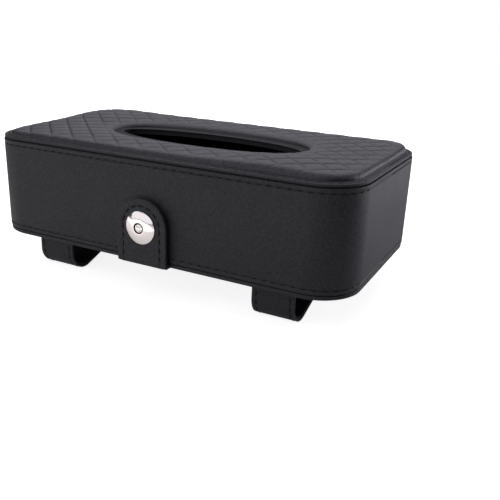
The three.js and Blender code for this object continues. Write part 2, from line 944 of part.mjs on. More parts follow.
// A strap with its lining and hook strip, and what stays sewn to the panel above it.
function addStrap(side, place) {
  const line = strapLine();
  const half = strapThickness / 2;
  const liningFrom = half - strapLining;
  const liningWidth = strapWidth - 2 * strapLiningInset;
  const group = new THREE.Group();
  group.position.x = place;
  addPiece(group, `strap_${side}`, strapRibbon(line, -half, strapSkin - half, strapWidth),
    finishes.leatherette);
  addPiece(group, `strap_lining_${side}`, strapRibbon(line, liningFrom, half, liningWidth),
    finishes.lining);
  addPiece(group, `strap_hook_${side}`, strapHook(), finishes.fastener);
  addPiece(group, `strap_patch_${side}`, strapPatch(), finishes.fastener);
  addPiece(group, `strap_sewn_end_${side}`, strapSewnEnd(), finishes.leatherette);
  holder.add(group);
}

addBody();
addDoor();
addTongue();
const strapMiddle = boxLength / 2 - strapFromEnd;
addStrap('left', -strapMiddle);
addStrap('right', strapMiddle);

export default holder;
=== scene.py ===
import logging
import math
from contextlib import contextmanager
from dataclasses import dataclass, field
from enum import Enum
from typing import Callable, Iterator, Sequence

import bmesh
import bpy
import numpy as np
from mathutils import Matrix, Vector


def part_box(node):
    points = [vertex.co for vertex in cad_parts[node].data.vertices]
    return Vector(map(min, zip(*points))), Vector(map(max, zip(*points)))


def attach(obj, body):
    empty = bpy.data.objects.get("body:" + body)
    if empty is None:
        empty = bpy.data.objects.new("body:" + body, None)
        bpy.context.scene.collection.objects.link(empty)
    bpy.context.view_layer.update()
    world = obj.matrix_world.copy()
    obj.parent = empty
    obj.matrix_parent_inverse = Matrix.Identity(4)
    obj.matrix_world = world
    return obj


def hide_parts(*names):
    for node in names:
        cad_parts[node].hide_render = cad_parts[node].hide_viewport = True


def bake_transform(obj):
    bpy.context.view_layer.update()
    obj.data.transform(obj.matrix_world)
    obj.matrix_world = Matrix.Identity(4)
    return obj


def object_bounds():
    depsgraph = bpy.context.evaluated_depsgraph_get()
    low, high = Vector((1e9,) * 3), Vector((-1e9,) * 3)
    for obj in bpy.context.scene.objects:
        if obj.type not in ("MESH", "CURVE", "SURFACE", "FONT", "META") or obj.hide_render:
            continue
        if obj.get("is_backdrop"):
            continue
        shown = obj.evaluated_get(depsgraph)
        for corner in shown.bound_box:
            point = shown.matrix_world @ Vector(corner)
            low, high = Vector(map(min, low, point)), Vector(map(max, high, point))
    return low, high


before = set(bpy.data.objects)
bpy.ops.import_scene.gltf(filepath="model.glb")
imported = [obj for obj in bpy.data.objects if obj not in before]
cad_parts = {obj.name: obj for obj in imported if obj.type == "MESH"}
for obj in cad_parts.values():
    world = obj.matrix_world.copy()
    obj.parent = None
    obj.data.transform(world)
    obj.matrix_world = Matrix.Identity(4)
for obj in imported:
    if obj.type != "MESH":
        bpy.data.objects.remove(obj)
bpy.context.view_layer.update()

logging.basicConfig(level=logging.INFO, format="%(message)s")
log = logging.getLogger("tissue_holder")

MM = 0.001
QUARTER = math.pi / 2


# Measures shared by the sub-assemblies


@dataclass(frozen=True)
class Measures:
    """Sizes of the holder that its frame gives, and those that its leather shares."""

    half_length: float
    half_width: float
    wall_bottom: float
    wall_top: float
    corner_radius: float = 26 * MM
    leather: float = 0.9 * MM
    thin_leather: float = 0.8 * MM
    lining: float = 0.5 * MM
    layer_gap: float = 0.1 * MM
    stitch_pitch: float = 5.6 * MM

    @classmethod
    def from_frame(cls) -> "Measures":
        """Reads the box's outline from its wall.

        Returns:
            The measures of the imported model.
        """
        low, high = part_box("wall_cover")
        return cls(high.x, high.y, low.z, high.z)

    def outline(self, corner_steps: int = 20) -> "RoundedRectangle":
        """Gives the box's outline in plan."""
        return RoundedRectangle(self.half_length, self.half_width, self.corner_radius, corner_steps)


# Modelling with Blender's own operators


def begin(name: str, add: Callable, **settings: object) -> bpy.types.Object:
    """Adds a primitive that is alone selected.

    Args:
        name: Name of the new piece.
        add: The operator that adds the primitive.
        **settings: The operator's settings.

    Returns:
        The new object.
    """
    bpy.ops.object.select_all(action="DESELECT")
    add(**settings)
    piece = bpy.context.object
    piece.name = name
    piece.data.name = name
    return piece


def select_only(piece: bpy.types.Object) -> None:
    """Makes a piece the only one selected, and the active one.

    Args:
        piece: The piece to select.
    """
    bpy.ops.object.select_all(action="DESELECT")
    piece.select_set(True)
    bpy.context.view_layer.objects.active = piece


@contextmanager
def editing(piece: bpy.types.Object, mode: str = "VERT") -> Iterator[None]:
    """Opens a piece in edit mode with nothing selected, and closes it again.

    Args:
        piece: The piece to edit.
        mode: What is selected: VERT, EDGE or FACE.

    Yields:
        Nothing.
    """
    select_only(piece)
    bpy.ops.object.mode_set(mode="EDIT")
    bpy.ops.mesh.select_mode(type=mode)
    bpy.ops.mesh.select_all(action="DESELECT")
    yield
    bpy.ops.object.mode_set(mode="OBJECT")


def pick(piece: bpy.types.Object, kind: str, test: Callable) -> int:
    """Selects the vertices, edges or faces that pass a test, in edit mode.

    Args:
        piece: The piece that is open.
        kind: verts, edges or faces.
        test: Takes a vertex, edge or face and says whether it is picked.

    Returns:
        How many were picked.
    """
    mesh = bmesh.from_edit_mesh(piece.data)
    for group in (mesh.verts, mesh.edges, mesh.faces):
        for item in group:
            item.select = False
    picked = [item for item in getattr(mesh, kind) if test(item)]
    for item in picked:
        item.select_set(True)
    mesh.select_flush_mode()
    bmesh.update_edit_mesh(piece.data)
    return len(picked)


def place_picked(piece: bpy.types.Object, place: Callable[[Vector], Vector]) -> None:
    """Moves each selected vertex to where a function puts it.

    Args:
        piece: The piece that is open.
        place: Takes a vertex's place and gives the new one.
    """
    mesh = bmesh.from_edit_mesh(piece.data)
    for vertex in mesh.verts:
        if vertex.select:
            vertex.co = place(vertex.co)
    bmesh.update_edit_mesh(piece.data)


def close_up(piece: bpy.types.Object, distance: float = 0.002 * MM) -> None:
    """Merges a piece's doubles and turns its faces outwards.

    Args:
        piece: The piece to close.
        distance: How near vertices are merged.
    """
    with editing(piece):
        bpy.ops.mesh.select_all(action="SELECT")
        bpy.ops.mesh.remove_doubles(threshold=distance)
        bpy.ops.mesh.normals_make_consistent(inside=False)


def smooth(piece: bpy.types.Object, angle: float = math.radians(40)) -> None:
    """Shades a piece smooth up to an angle between faces.

    Args:
        piece: The piece to shade.
        angle: Creases over this angle stay sharp.
    """
    select_only(piece)
    bpy.ops.object.shade_smooth_by_angle(angle=angle)


def apply(piece: bpy.types.Object, kind: str, **settings: object) -> None:
    """Adds a modifier to a piece and applies it.

    Args:
        piece: The piece to change.
        kind: The modifier's type.
        **settings: The modifier's settings.
    """
    modifier = piece.modifiers.new(kind.lower(), kind)
    for name, value in settings.items():
        setattr(modifier, name, value)
    select_only(piece)
    bpy.ops.object.modifier_apply(modifier=modifier.name)


def reshape(piece: bpy.types.Object, place: Callable[[np.ndarray], np.ndarray]) -> None:
    """Moves all of a mesh's vertices at once.

    Args:
        piece: The piece to move.
        place: Takes rows of x, y and z and gives the new rows.
    """
    mesh = piece.data
    rows = np.empty(3 * len(mesh.vertices))
    mesh.vertices.foreach_get("co", rows)
    mesh.vertices.foreach_set("co", place(rows.reshape(-1, 3)).ravel())
    mesh.update()


@dataclass(frozen=True)
class Coat:
    """A material and the slot that it goes with."""

    material: bpy.types.Material
    slot: str


def finish_piece(
    piece: bpy.types.Object, coat: Coat, body: str | None, nodes: Sequence[str] = ()
) -> None:
    """Gives a piece its material and its body, and hides the CAD nodes that it stands for.

    Args:
        piece: The finished mesh.
        coat: Its material and slot; only the material is given to it.
        body: The body that it rides on, or None for a piece that joins two, which is left unattached.
        nodes: The CAD nodes that it replaces.
    """
    piece.data.materials.clear()
    piece.data.materials.append(coat.material)
    if body:
        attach(piece, body)
    if nodes:
        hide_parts(*nodes)
    log.info("%s: %d faces", piece.name, len(piece.data.polygons))


# Outlines that sections are swept round


class Outline:
    """A closed outline in plan that can be drawn in or out."""

    def points(self, inset: float) -> list[Vector]:
        """Gives the outline's points at an inset."""
        raise NotImplementedError

    def moved(self, point: Vector, inwards: float) -> Vector:
        """Moves a point on the outline inwards."""
        raise NotImplementedError


@dataclass(frozen=True)
class RoundedRectangle(Outline):
    """The box's outline in plan."""

    half_length: float
    half_width: float
    radius: float
    corner_steps: int = 20

    def normal(self, point: Vector) -> Vector:
        """Gives the direction out of the outline at a point near it.

        Args:
            point: A place near the outline.

        Returns:
            A level unit vector.
        """
        centre_x = self.half_length - self.radius
        centre_y = self.half_width - self.radius
        beyond = Vector((abs(point.x) - centre_x, abs(point.y) - centre_y, 0))
        if beyond.x > 0 and beyond.y > 0:
            beyond.normalize()
        elif beyond.x > beyond.y:
            beyond = Vector((1, 0, 0))
        else:
            beyond = Vector((0, 1, 0))
        return Vector((math.copysign(beyond.x, point.x), math.copysign(beyond.y, point.y), 0))

    def points(self, inset: float) -> list[Vector]:
        """Gives the outline's points, anticlockwise.

        Args:
            inset: How far it is drawn in.

        Returns:
            Points at height zero.
        """
        radius = self.radius - inset
        found = []
        for corner, (side_x, side_y) in enumerate(((1, 1), (-1, 1), (-1, -1), (1, -1))):
            for step in range(self.corner_steps + 1):
                angle = (corner + step / self.corner_steps) * QUARTER
                found.append(Vector((
                    side_x * (self.half_length - self.radius) + radius * math.cos(angle),
                    side_y * (self.half_width - self.radius) + radius * math.sin(angle),
                    0,
                )))
        return found

    def moved(self, point: Vector, inwards: float) -> Vector:
        """Moves a point inwards, square to the outline.

        Args:
            point: A place near the outline.
            inwards: How far it moves.

        Returns:
            The new place.
        """
        return point - self.normal(point) * inwards

    def length(self, inset: float) -> float:
        """Gives the outline's length at an inset."""
        straight = 4 * (self.half_length + self.half_width - 2 * self.radius)
        return straight + 4 * QUARTER * (self.radius - inset)

    def walk(self, inset: float, distance: float) -> tuple[Vector, Vector, Vector]:
        """Finds the place at a distance along the outline.

        Args:
            inset: How far the outline is drawn in.
            distance: Distance from the middle of the right-hand side, anticlockwise.

        Returns:
            The place, the way along and the way out.
        """
        radius = self.radius - inset
        half_x = self.half_length - self.radius
        half_y = self.half_width - self.radius
        left = distance % self.length(inset)
        for corner, (side_x, side_y) in enumerate(((1, 1), (-1, 1), (-1, -1), (1, -1), (1, 1))):
            run = half_y if corner in (0, 4) else (2 * half_x if corner % 2 else 2 * half_y)
            out = Vector((math.cos(corner * QUARTER), math.sin(corner * QUARTER), 0))
            along = Vector((-out.y, out.x, 0))
            centre = Vector((side_x * half_x, side_y * half_y, 0))
            if left <= run:
                return centre + out * radius - along * (run - left), along, out
            left -= run
            if left <= radius * QUARTER:
                angle = corner * QUARTER + left / radius
                out = Vector((math.cos(angle), math.sin(angle), 0))
                return centre + out * radius, Vector((-out.y, out.x, 0)), out
            left -= radius * QUARTER
        raise ValueError("distance lies past the outline")


@dataclass(frozen=True)
class Oval(Outline):
    """An oval, a plain ellipse where its fullness is 2 and squarer over that."""

    half_length: float
    half_width: float
    count: int = 96
    fullness: float = 2

    def points(self, inset: float) -> list[Vector]:
        """Gives the oval's points, anticlockwise.

        Args:
            inset: How far it is drawn in.

        Returns:
            Points at height zero.
        """
        power = 2 / self.fullness
        result = []
        for step in range(self.count):
            angle = 4 * QUARTER * step / self.count
            across, along = math.cos(angle), math.sin(angle)
            result.append(Vector((
                math.copysign(abs(across) ** power, across) * (self.half_length - inset),
                math.copysign(abs(along) ** power, along) * (self.half_width - inset),
                0)))
        return result

    def moved(self, point: Vector, inwards: float) -> Vector:
        """Moves a point of the oval inwards."""
        return Vector((
            point.x * (1 - inwards / self.half_length),
            point.y * (1 - inwards / self.half_width),
            point.z))


Section = list[tuple[float, float]]


def arc(centre: tuple[float, float], radius: float, start: float, end: float, steps: int) -> Section:
    """Draws an arc as a list of insets and heights.

    Args:
        centre: The arc's centre, as an inset and a height.
        radius: The arc's radius.
        start: The first angle, from the inset's way towards up.
        end: The last angle.
        steps: How many steps it is drawn in.

    Returns:
        The points of the arc, both ends included.
    """
    angles = [start + (end - start) * step / steps for step in range(steps + 1)]
    return [(centre[0] + radius * math.cos(a), centre[1] + radius * math.sin(a)) for a in angles]


def groove_fall(share: float, depth: float) -> float:
    """Gives how deep a soft groove is at a share of its half width from its middle."""
    return depth * (1 + math.cos(math.pi * share)) / 2


def dip(inset: float, height: float, depth: float, half_width: float, steps: int = 8) -> Section:
    """Draws a soft groove in an upright face.

    Args:
        inset: The face's inset.
        height: The height of the groove's middle.
        depth: How deep it is.
        half_width: Half of its width.
        steps: How many steps it is drawn in.

    Returns:
        The groove's points from the lower edge to the upper one.
    """
    shares = [2 * step / steps - 1 for step in range(steps + 1)]
    return [(inset + groove_fall(share, depth), height + half_width * share) for share in shares]


def sweep(name: str, outline: Outline, section: Section, is_closed: bool = True) -> bpy.types.Object:
    """Sweeps a section round an outline by extruding its edge loop from station to station.

    Args:
        name: Name of the piece.
        outline: The outline to follow.
        section: Insets and heights.
        is_closed: Whether the section's last point joins its first.

    Returns:
        The swept piece.
    """
    first_inset, first_height = section[0]
    points = outline.points(first_inset)
    piece = begin(
        name, bpy.ops.mesh.primitive_circle_add, vertices=len(points), radius=1, fill_type="NOTHING")
    for vertex, point in zip(piece.data.vertices, points):
        vertex.co = (point.x, point.y, first_height)
    stations = section[1:] + (section[:1] if is_closed else [])
    with editing(piece, "EDGE"):
        bpy.ops.mesh.select_all(action="SELECT")
        inset = first_inset
        for next_inset, height in stations:
            bpy.ops.mesh.extrude_edges_move()
            step = next_inset - inset

            def place(point: Vector) -> Vector:
                """Moves a point to the next station."""
                moved = outline.moved(point, step)
                return Vector((moved.x, moved.y, height))

            place_picked(piece, place)
            inset = next_inset
    close_up(piece)
    return piece


def cap_loops(piece: bpy.types.Object) -> None:
    """Fills every open loop of a piece with a face.

    Args:
        piece: The piece to cap.
    """
    with editing(piece, "EDGE"):
        bpy.ops.mesh.select_non_manifold(
            extend=False, use_wire=False, use_multi_face=False, use_non_contiguous=False,
            use_verts=False)
        bpy.ops.mesh.edge_face_add()
    close_up(piece)


# Shader graphs


Colour = tuple[float, float, float]


def lighter(colour: Colour, factor: float) -> Colour:
    """Gives a colour times a factor."""
    return tuple(value * factor for value in colour)


class Signal:
    """A socket in a shader graph, on which Python's arithmetic adds Math nodes."""

    def __init__(self, graph: "Graph", socket: bpy.types.NodeSocket) -> None:
        """Keeps the graph and the socket."""
        self.graph = graph
        self.socket = socket

    def __add__(self, other: "Signal | float") -> "Signal":
        """Adds."""
        return self.graph.math("ADD", self, other)

    def __sub__(self, other: "Signal | float") -> "Signal":
        """Subtracts."""
        return self.graph.math("SUBTRACT", self, other)

    def __rsub__(self, other: float) -> "Signal":
        """Subtracts from a number."""
        return self.graph.math("SUBTRACT", other, self)

    def __mul__(self, other: "Signal | float") -> "Signal":
        """Multiplies."""
        return self.graph.math("MULTIPLY", self, other)

    def clamp(self) -> "Signal":
        """Keeps the value between zero and one."""
        return self.graph.node("ShaderNodeClamp", {}, {"Value": self})


class Graph:
    """A material's node graph, with its output and one surface shader."""

    def __init__(self, name: str, roughness: float = 0.5, **constants: object) -> None:
        """Starts a material.

        Args:
            name: The material's name.
            roughness: Roughness where nothing is linked.
            **constants: Other sockets of the surface shader, with spaces as underscores.
        """
        self.material = bpy.data.materials.new(name)
        self.material.use_nodes = True
        self.tree = self.material.node_tree
        self.tree.nodes.clear()
        self.surface = self.tree.nodes.new("ShaderNodeBsdfPrincipled")
        output = self.tree.nodes.new("ShaderNodeOutputMaterial")
        self.tree.links.new(self.surface.outputs["BSDF"], output.inputs["Surface"])
        self.surface.inputs["Roughness"].default_value = roughness
        for socket, value in constants.items():
            self.surface.inputs[socket.replace("_", " ")].default_value = value

    def node(self, kind: str, settings: dict, values: dict, output: str | int = 0) -> Signal:
        """Adds a node.

        Args:
            kind: The node's type.
            settings: Properties that are set first.
            values: Sockets by name or number, as numbers, vectors or signals.
            output: The output that is read.

        Returns:
            The node's output.
        """
        node = self.tree.nodes.new(kind)
        for name, value in settings.items():
            setattr(node, name, value)
        for socket, value in values.items():
            if isinstance(value, Signal):
                self.tree.links.new(value.socket, node.inputs[socket])
            else:
                node.inputs[socket].default_value = value
        return Signal(self, node.outputs[output])

    def math(self, operation: str, *values: "Signal | float") -> Signal:
        """Adds a Math node."""
        return self.node("ShaderNodeMath", {"operation": operation}, dict(enumerate(values)))

    def place(self, stretch: tuple[float, float, float] = (1, 1, 1)) -> Signal:
        """Gives the place on the piece in millimetres.

        Args:
            stretch: Factors by which the pattern's coordinates are multiplied.

        Returns:
            The object's own coordinates, times a thousand and the stretch.
        """
        here = self.node("ShaderNodeTexCoord", {}, {}, "Object")
        scale = tuple(value / MM for value in stretch)
        return self.node("ShaderNodeVectorMath", {"operation": "MULTIPLY"}, {0: here, 1: scale})

    def noise(self, place: Signal, size: float, detail: float = 2, rough: float = 0.5) -> Signal:
        """Adds noise whose cells have a size in millimetres."""
        values = {"Vector": place, "Scale": 1 / size, "Detail": detail, "Roughness": rough}
        return self.node("ShaderNodeTexNoise", {}, values)

    def cells(self, place: Signal, size: float) -> Signal:
        """Adds rounded cells with creases between them, as on grained leather."""
        values = {"Vector": place, "Scale": 1 / size}
        return self.node("ShaderNodeTexVoronoi", {"feature": "DISTANCE_TO_EDGE"}, values)

    def wave(
        self, place: Signal, direction: str, scale: float, distortion: float, detail: float = 1
    ) -> Signal:
        """Adds wavy bands.

        Args:
            place: Coordinates in millimetres.
            direction: The way across the bands.
            scale: How close they lie.
            distortion: How wavy they are.
            detail: How fine the waves in them are.

        Returns:
            The bands' height.
        """
        settings = {"wave_type": "BANDS", "bands_direction": direction}
        values = {
            "Vector": place, "Scale": scale, "Distortion": distortion, "Detail Scale": detail}
        return self.node("ShaderNodeTexWave", settings, values)

    def lay(self, share: Signal, under: Signal | Colour, over: Colour) -> Signal:
        """Lays a plain colour over another or over a varying one, by a share.

        Args:
            share: How much of the upper colour shows.
            under: The lower colour.
            over: The upper colour.

        Returns:
            The mixed colour.
        """
        below = under if isinstance(under, Signal) else (*under, 1)
        values = {0: share, 6: below, 7: (*over, 1)}
        return self.node("ShaderNodeMix", {"data_type": "RGBA"}, values, 2)

    def vary(self, share: Signal, colour: Colour, first: float, second: float) -> Signal:
        """Varies a colour between itself times one factor and times another."""
        return self.lay(share, lighter(colour, first), lighter(colour, second))

    def bump(self, height: Signal, depth: float) -> None:
        """Feeds the shader's normal from a height of zero to one.

        Args:
            height: The relief.
            depth: Its depth in metres.
        """
        values = {"Height": height, "Distance": depth, "Strength": 1}
        self.link("Normal", self.node("ShaderNodeBump", {}, values))

    def link(self, socket: str, value: Signal) -> None:
        """Links a value to a socket of the surface shader."""
        self.tree.links.new(value.socket, self.surface.inputs[socket])


class Grain(Enum):
    """How a leatherette is embossed."""

    PEBBLE = "pebble"
    CROSS = "cross"


@dataclass(frozen=True)
class LeatherFinish:
    """Embossed leatherette."""

    name: str
    colour: Colour
    roughness: float
    grain: Grain
    grain_size: float
    grain_depth: float
    gloss: float = 0.5
    # Attribute whose share darkens the colour along the sewn lines: painted shade and dirt in the
    # creases.
    sewn_line: str = ""

    def build(self) -> bpy.types.Material:
        """Makes the material.

        Returns:
            The material.
        """
        graph = Graph(self.name, self.roughness, Specular_IOR_Level=self.gloss)
        place = graph.place()
        cells = (graph.cells(place, self.grain_size) * 3).clamp()
        speck = ((graph.noise(place, self.grain_size, 1) - 0.5) * 3 + 0.5).clamp()
        fine = graph.noise(place, self.grain_size / 3, 3)
        broad = graph.noise(place, 22, 2)
        relief = cells * 0.7 + fine * 0.3
        if self.grain is Grain.CROSS:
            relief = self.cross_grain(graph, place) * 0.6 + relief * 0.4
        worn = (broad * 0.25 + fine * 0.15 + speck * 0.6).clamp()
        colour = graph.vary(worn, self.colour, 0.5, 1.5)
        # Painted shade and dirt: the colour darkens to 15 % of itself along the sewn lines.
        if self.sewn_line:
            line = graph.node("ShaderNodeAttribute", {"attribute_name": self.sewn_line}, {}, "Fac")
            colour = graph.lay(line, colour, lighter(self.colour, 0.15))
        graph.link("Base Color", colour)
        graph.link("Roughness", (broad - 0.5) * 0.1 + (1 - relief) * 0.12 + self.roughness - 0.05)
        graph.bump(relief, self.grain_depth)
        return graph.material

    def cross_grain(self, graph: Graph, place: Signal) -> Signal:
        """Makes short ribs along the box, broken by finer ones across it.

        Args:
            graph: The graph to add to.
            place: Coordinates in millimetres.

        Returns:
            The ribs' height.
        """
        rows = graph.wave(place, "Y", 0.32, 1.4, 1.6)
        columns = graph.wave(place, "X", 0.24, 2.2, 1.2)
        return rows * 0.7 + columns * 0.3


@dataclass(frozen=True)
class FeltFinish:
    """Nonwoven lining or the pile of a hook and loop strip."""

    name: str
    colour: Colour
    fibre: float
    depth: float

    def build(self) -> bpy.types.Material:
        """Makes the material.

        Returns:
            The material.
        """
        graph = Graph(self.name, 0.95, Specular_IOR_Level=0.2, Sheen_Weight=0.12)
        strands = graph.noise(graph.place((1, 0.25, 1)), self.fibre, 4, 0.7)
        crossing = graph.noise(graph.place((0.25, 1, 1)), self.fibre, 4, 0.7)
        relief = graph.math("MAXIMUM", strands, crossing)
        graph.link("Base Color", graph.vary(relief, self.colour, 0.6, 1.6))
        graph.bump(relief, self.depth)
        return graph.material


@dataclass(frozen=True)
class MetalFinish:
    """Plated or plain metal."""

    name: str
    colour: Colour
    roughness: float
    grime: float

    def build(self) -> bpy.types.Material:
        """Makes the material.

        Returns:
            The material.
        """
        graph = Graph(self.name, self.roughness, Metallic=1)
        haze = graph.noise(graph.place(), 3, 3)
        scratches = graph.noise(graph.place((6, 1, 0.6)), 0.8, 3, 0.7)
        graph.link("Base Color", graph.vary((haze * self.grime).clamp(), self.colour, 1, 0.8))
        graph.link("Roughness", haze * 0.06 + scratches * 0.05 + self.roughness - 0.05)
        graph.bump(scratches, 0.004 * MM)
        return graph.material


@dataclass(frozen=True)
class BoardFinish:
    """Pressed fibreboard, open foam or ferrite."""

    name: str
    colour: Colour
    grain: float

    def build(self) -> bpy.types.Material:
        """Makes the material.

        Returns:
            The material.
        """
        graph = Graph(self.name, 0.9, Specular_IOR_Level=0.3)
        specks = graph.noise(graph.place(), self.grain, 5, 0.65)
        graph.link("Base Color", graph.vary(specks, self.colour, 0.7, 1.25))
        graph.bump(specks, 0.08 * MM)
        return graph.material


@dataclass(frozen=True)
class ThreadFinish:
    """Twisted sewing thread."""

    name: str
    colour: Colour

    def build(self) -> bpy.types.Material:
        """Makes the material.

        Returns:
            The material.
        """
        graph = Graph(self.name, 0.8, Specular_IOR_Level=0.2)
        twist = graph.wave(graph.place(), "DIAGONAL", 1.2, 0.6)
        graph.link("Base Color", graph.vary(twist, self.colour, 0.5, 1.5))
        graph.bump(twist, 0.05 * MM)
        return graph.material


@dataclass(frozen=True)
class Finishes:
    """The holder's finishes, each made once, with their slots."""

    leather: Coat
    quilted: Coat
    lining: Coat
    pile: Coat
    nickel: Coat
    steel: Coat
    magnet: Coat
    board: Coat
    foam: Coat
    thread: Coat

    @classmethod
    def build(cls) -> "Finishes":
        """Makes every material.

        Returns:
            The finishes.
        """
        leather = LeatherFinish(
            "charcoal_leatherette", (0.030, 0.030, 0.033), 0.56, Grain.PEBBLE, 1.1, 0.13 * MM,
            gloss=0.34)
        quilted = LeatherFinish(
            "cross_grain_leatherette", (0.033, 0.033, 0.037), 0.5, Grain.CROSS, 0.8, 0.16 * MM,
            sewn_line="sewn_line")
        felt = FeltFinish("black_felt", (0.010, 0.010, 0.011), 0.6, 0.15 * MM)
        pile = FeltFinish("hook_and_loop_pile", (0.012, 0.012, 0.013), 0.35, 0.3 * MM)
        nickel = MetalFinish("polished_nickel", (0.92, 0.86, 0.80), 0.12, 0.2)
        steel = MetalFinish("zinc_steel", (0.42, 0.42, 0.43), 0.35, 0.8)
        ferrite = BoardFinish("ferrite", (0.05, 0.05, 0.055), 0.5)
        board = BoardFinish("fibreboard", (0.030, 0.027, 0.025), 0.7)
        foam = BoardFinish("grey_foam", (0.33, 0.33, 0.32), 0.5)
        thread = ThreadFinish("charcoal_thread", (0.016, 0.016, 0.018))
        return cls(
            leather=Coat(leather.build(), "leatherette"),
            quilted=Coat(quilted.build(), "quilted_leatherette"),
            lining=Coat(felt.build(), "lining"),
            pile=Coat(pile.build(), "hook_and_loop"),
            nickel=Coat(nickel.build(), "nickel"),
            steel=Coat(steel.build(), "steel"),
            magnet=Coat(ferrite.build(), "magnet"),
            board=Coat(board.build(), "board"),
            foam=Coat(foam.build(), "foam"),
            thread=Coat(thread.build(), "leatherette"),
        )


# Sewing


Seat = tuple[Vector, Vector, Vector]


@dataclass
class Stitching:
    """Rows of stitches that sit in the leather, made from one modelled stitch."""

    thread: Coat
    length: float = 3.5 * MM
    radius: float = 0.36 * MM
    dive: float = 0.5 * MM
    sides: int = 8
    rise: float = 0.05 * MM

    def template(self) -> tuple[np.ndarray, list[tuple[int, ...]]]:
        """Models one stitch along X whose ends dive into the leather.

        Returns:
            Its vertices and faces.
        """
        piece = begin(
            "stitch", bpy.ops.mesh.primitive_cylinder_add, vertices=self.sides,
            radius=self.radius, depth=self.length)
        with editing(piece, "FACE"):
            bpy.ops.mesh.select_all(action="SELECT")
            bpy.ops.transform.rotate(value=QUARTER, orient_axis="Y", center_override=(0, 0, 0))
            for share in (-0.33, 0, 0.33):
                bpy.ops.mesh.select_all(action="SELECT")
                bpy.ops.mesh.bisect(plane_co=(share * self.length, 0, 0), plane_no=(1, 0, 0))
        mesh = piece.data
        rows = np.array([vertex.co for vertex in mesh.vertices])
        share = np.abs(rows[:, 0]) / (self.length / 2)
        rows[:, 1:] *= (1 - 0.45 * share**3)[:, None]
        rows[:, 2] -= self.dive * share**3
        faces = [tuple(face.vertices) for face in mesh.polygons]
        bpy.data.objects.remove(piece)
        return rows, faces

    def sew(self, name: str, seats: Sequence[Seat], body: str) -> None:
        """Puts a stitch at each seat.

        Args:
            name: Name of the row.
            seats: For each stitch its place, the way along and the way out of the leather.
            body: The body that the row rides on.
        """
        template, faces = self.template()
        rows = []
        all_faces = []
        for place, along, out in seats:
            turn = np.array([along, out.cross(along), out])
            first = len(rows) * len(template)
            rows.append(template @ turn + np.array(place + out * self.rise))
            all_faces.extend(tuple(first + k for k in face) for face in faces)
        mesh = bpy.data.meshes.new(name)
        mesh.from_pydata(np.concatenate(rows).tolist(), [], all_faces)
        piece = bpy.data.objects.new(name, mesh)
        bpy.context.scene.collection.objects.link(piece)
        close_up(piece)
        smooth(piece)
        finish_piece(piece, self.thread, body)


def round_seats(
    outline: RoundedRectangle, inset: float, pitch: float, place: Callable[[Vector, Vector], Vector],
    out_share: float,
) -> list[Seat]:
    """Spaces stitches evenly round the box.

    Args:
        outline: The box's outline.
        inset: The row's inset.
        pitch: The wished pitch.
        place: Takes a level place and the way out and gives the place in space.
        out_share: How far the way out of the leather leans from up (0) to level (1).

    Returns:
        The stitches' seats.
    """
    length = outline.length(inset)
    count = round(length / pitch)
    seats = []
    for step in range(count):
        point, along, out = outline.walk(inset, length * step / count)
        lean = (out * out_share + Vector((0, 0, 1 - out_share))).normalized()
        seats.append((place(point, out), along, lean))
    return seats


# Quilted top


@dataclass(frozen=True)
class RolledEdge:
    """A rolled edge's section: an elliptic quarter turn, then straight down."""

    width: float
    depth: float
    straight: float

    STEPS = 24

    def table(self) -> np.ndarray:
        """Samples the section from its crest down.

        Returns:
            Rows of length along it, way across, fall and lean of its outside from upright.
        """
        angles = np.linspace(0, QUARTER, self.STEPS + 1)
        across = self.width * np.sin(angles)
        fall = self.depth * (1 - np.cos(angles))
        lean = np.arctan2(self.depth * np.sin(angles), self.width * np.cos(angles))
        across = np.append(across, self.width)
        fall = np.append(fall, self.depth + self.straight)
        lean = np.append(lean, QUARTER)
        length = np.append(0, np.cumsum(np.hypot(np.diff(across), np.diff(fall))))
        return np.column_stack((length, across, fall, lean))

    def length(self) -> float:
        """Gives the length of leather that the section takes."""
        return float(self.table()[-1, 0])

    def at(self, lengths: np.ndarray) -> tuple[np.ndarray, np.ndarray, np.ndarray]:
        """Reads the section at lengths from the crest.

        Args:
            lengths: Distances along the leather.

        Returns:
            Way across, fall and lean at each.
        """
        table = self.table()
        return tuple(np.interp(lengths, table[:, 0], table[:, column]) for column in (1, 2, 3))


@dataclass(frozen=True)
class Swelling:
    """A place where the padding stands higher, or lies lower, than round about."""

    x: float
    y: float
    reach: float
    height: float

    def at(self, rows: np.ndarray) -> np.ndarray:
        """Gives the height that it adds at places on the level sheet."""
        distance = np.hypot(rows[:, 0] - self.x, rows[:, 1] - self.y)
        return self.height * np.exp(-(distance**2) / self.reach**2)


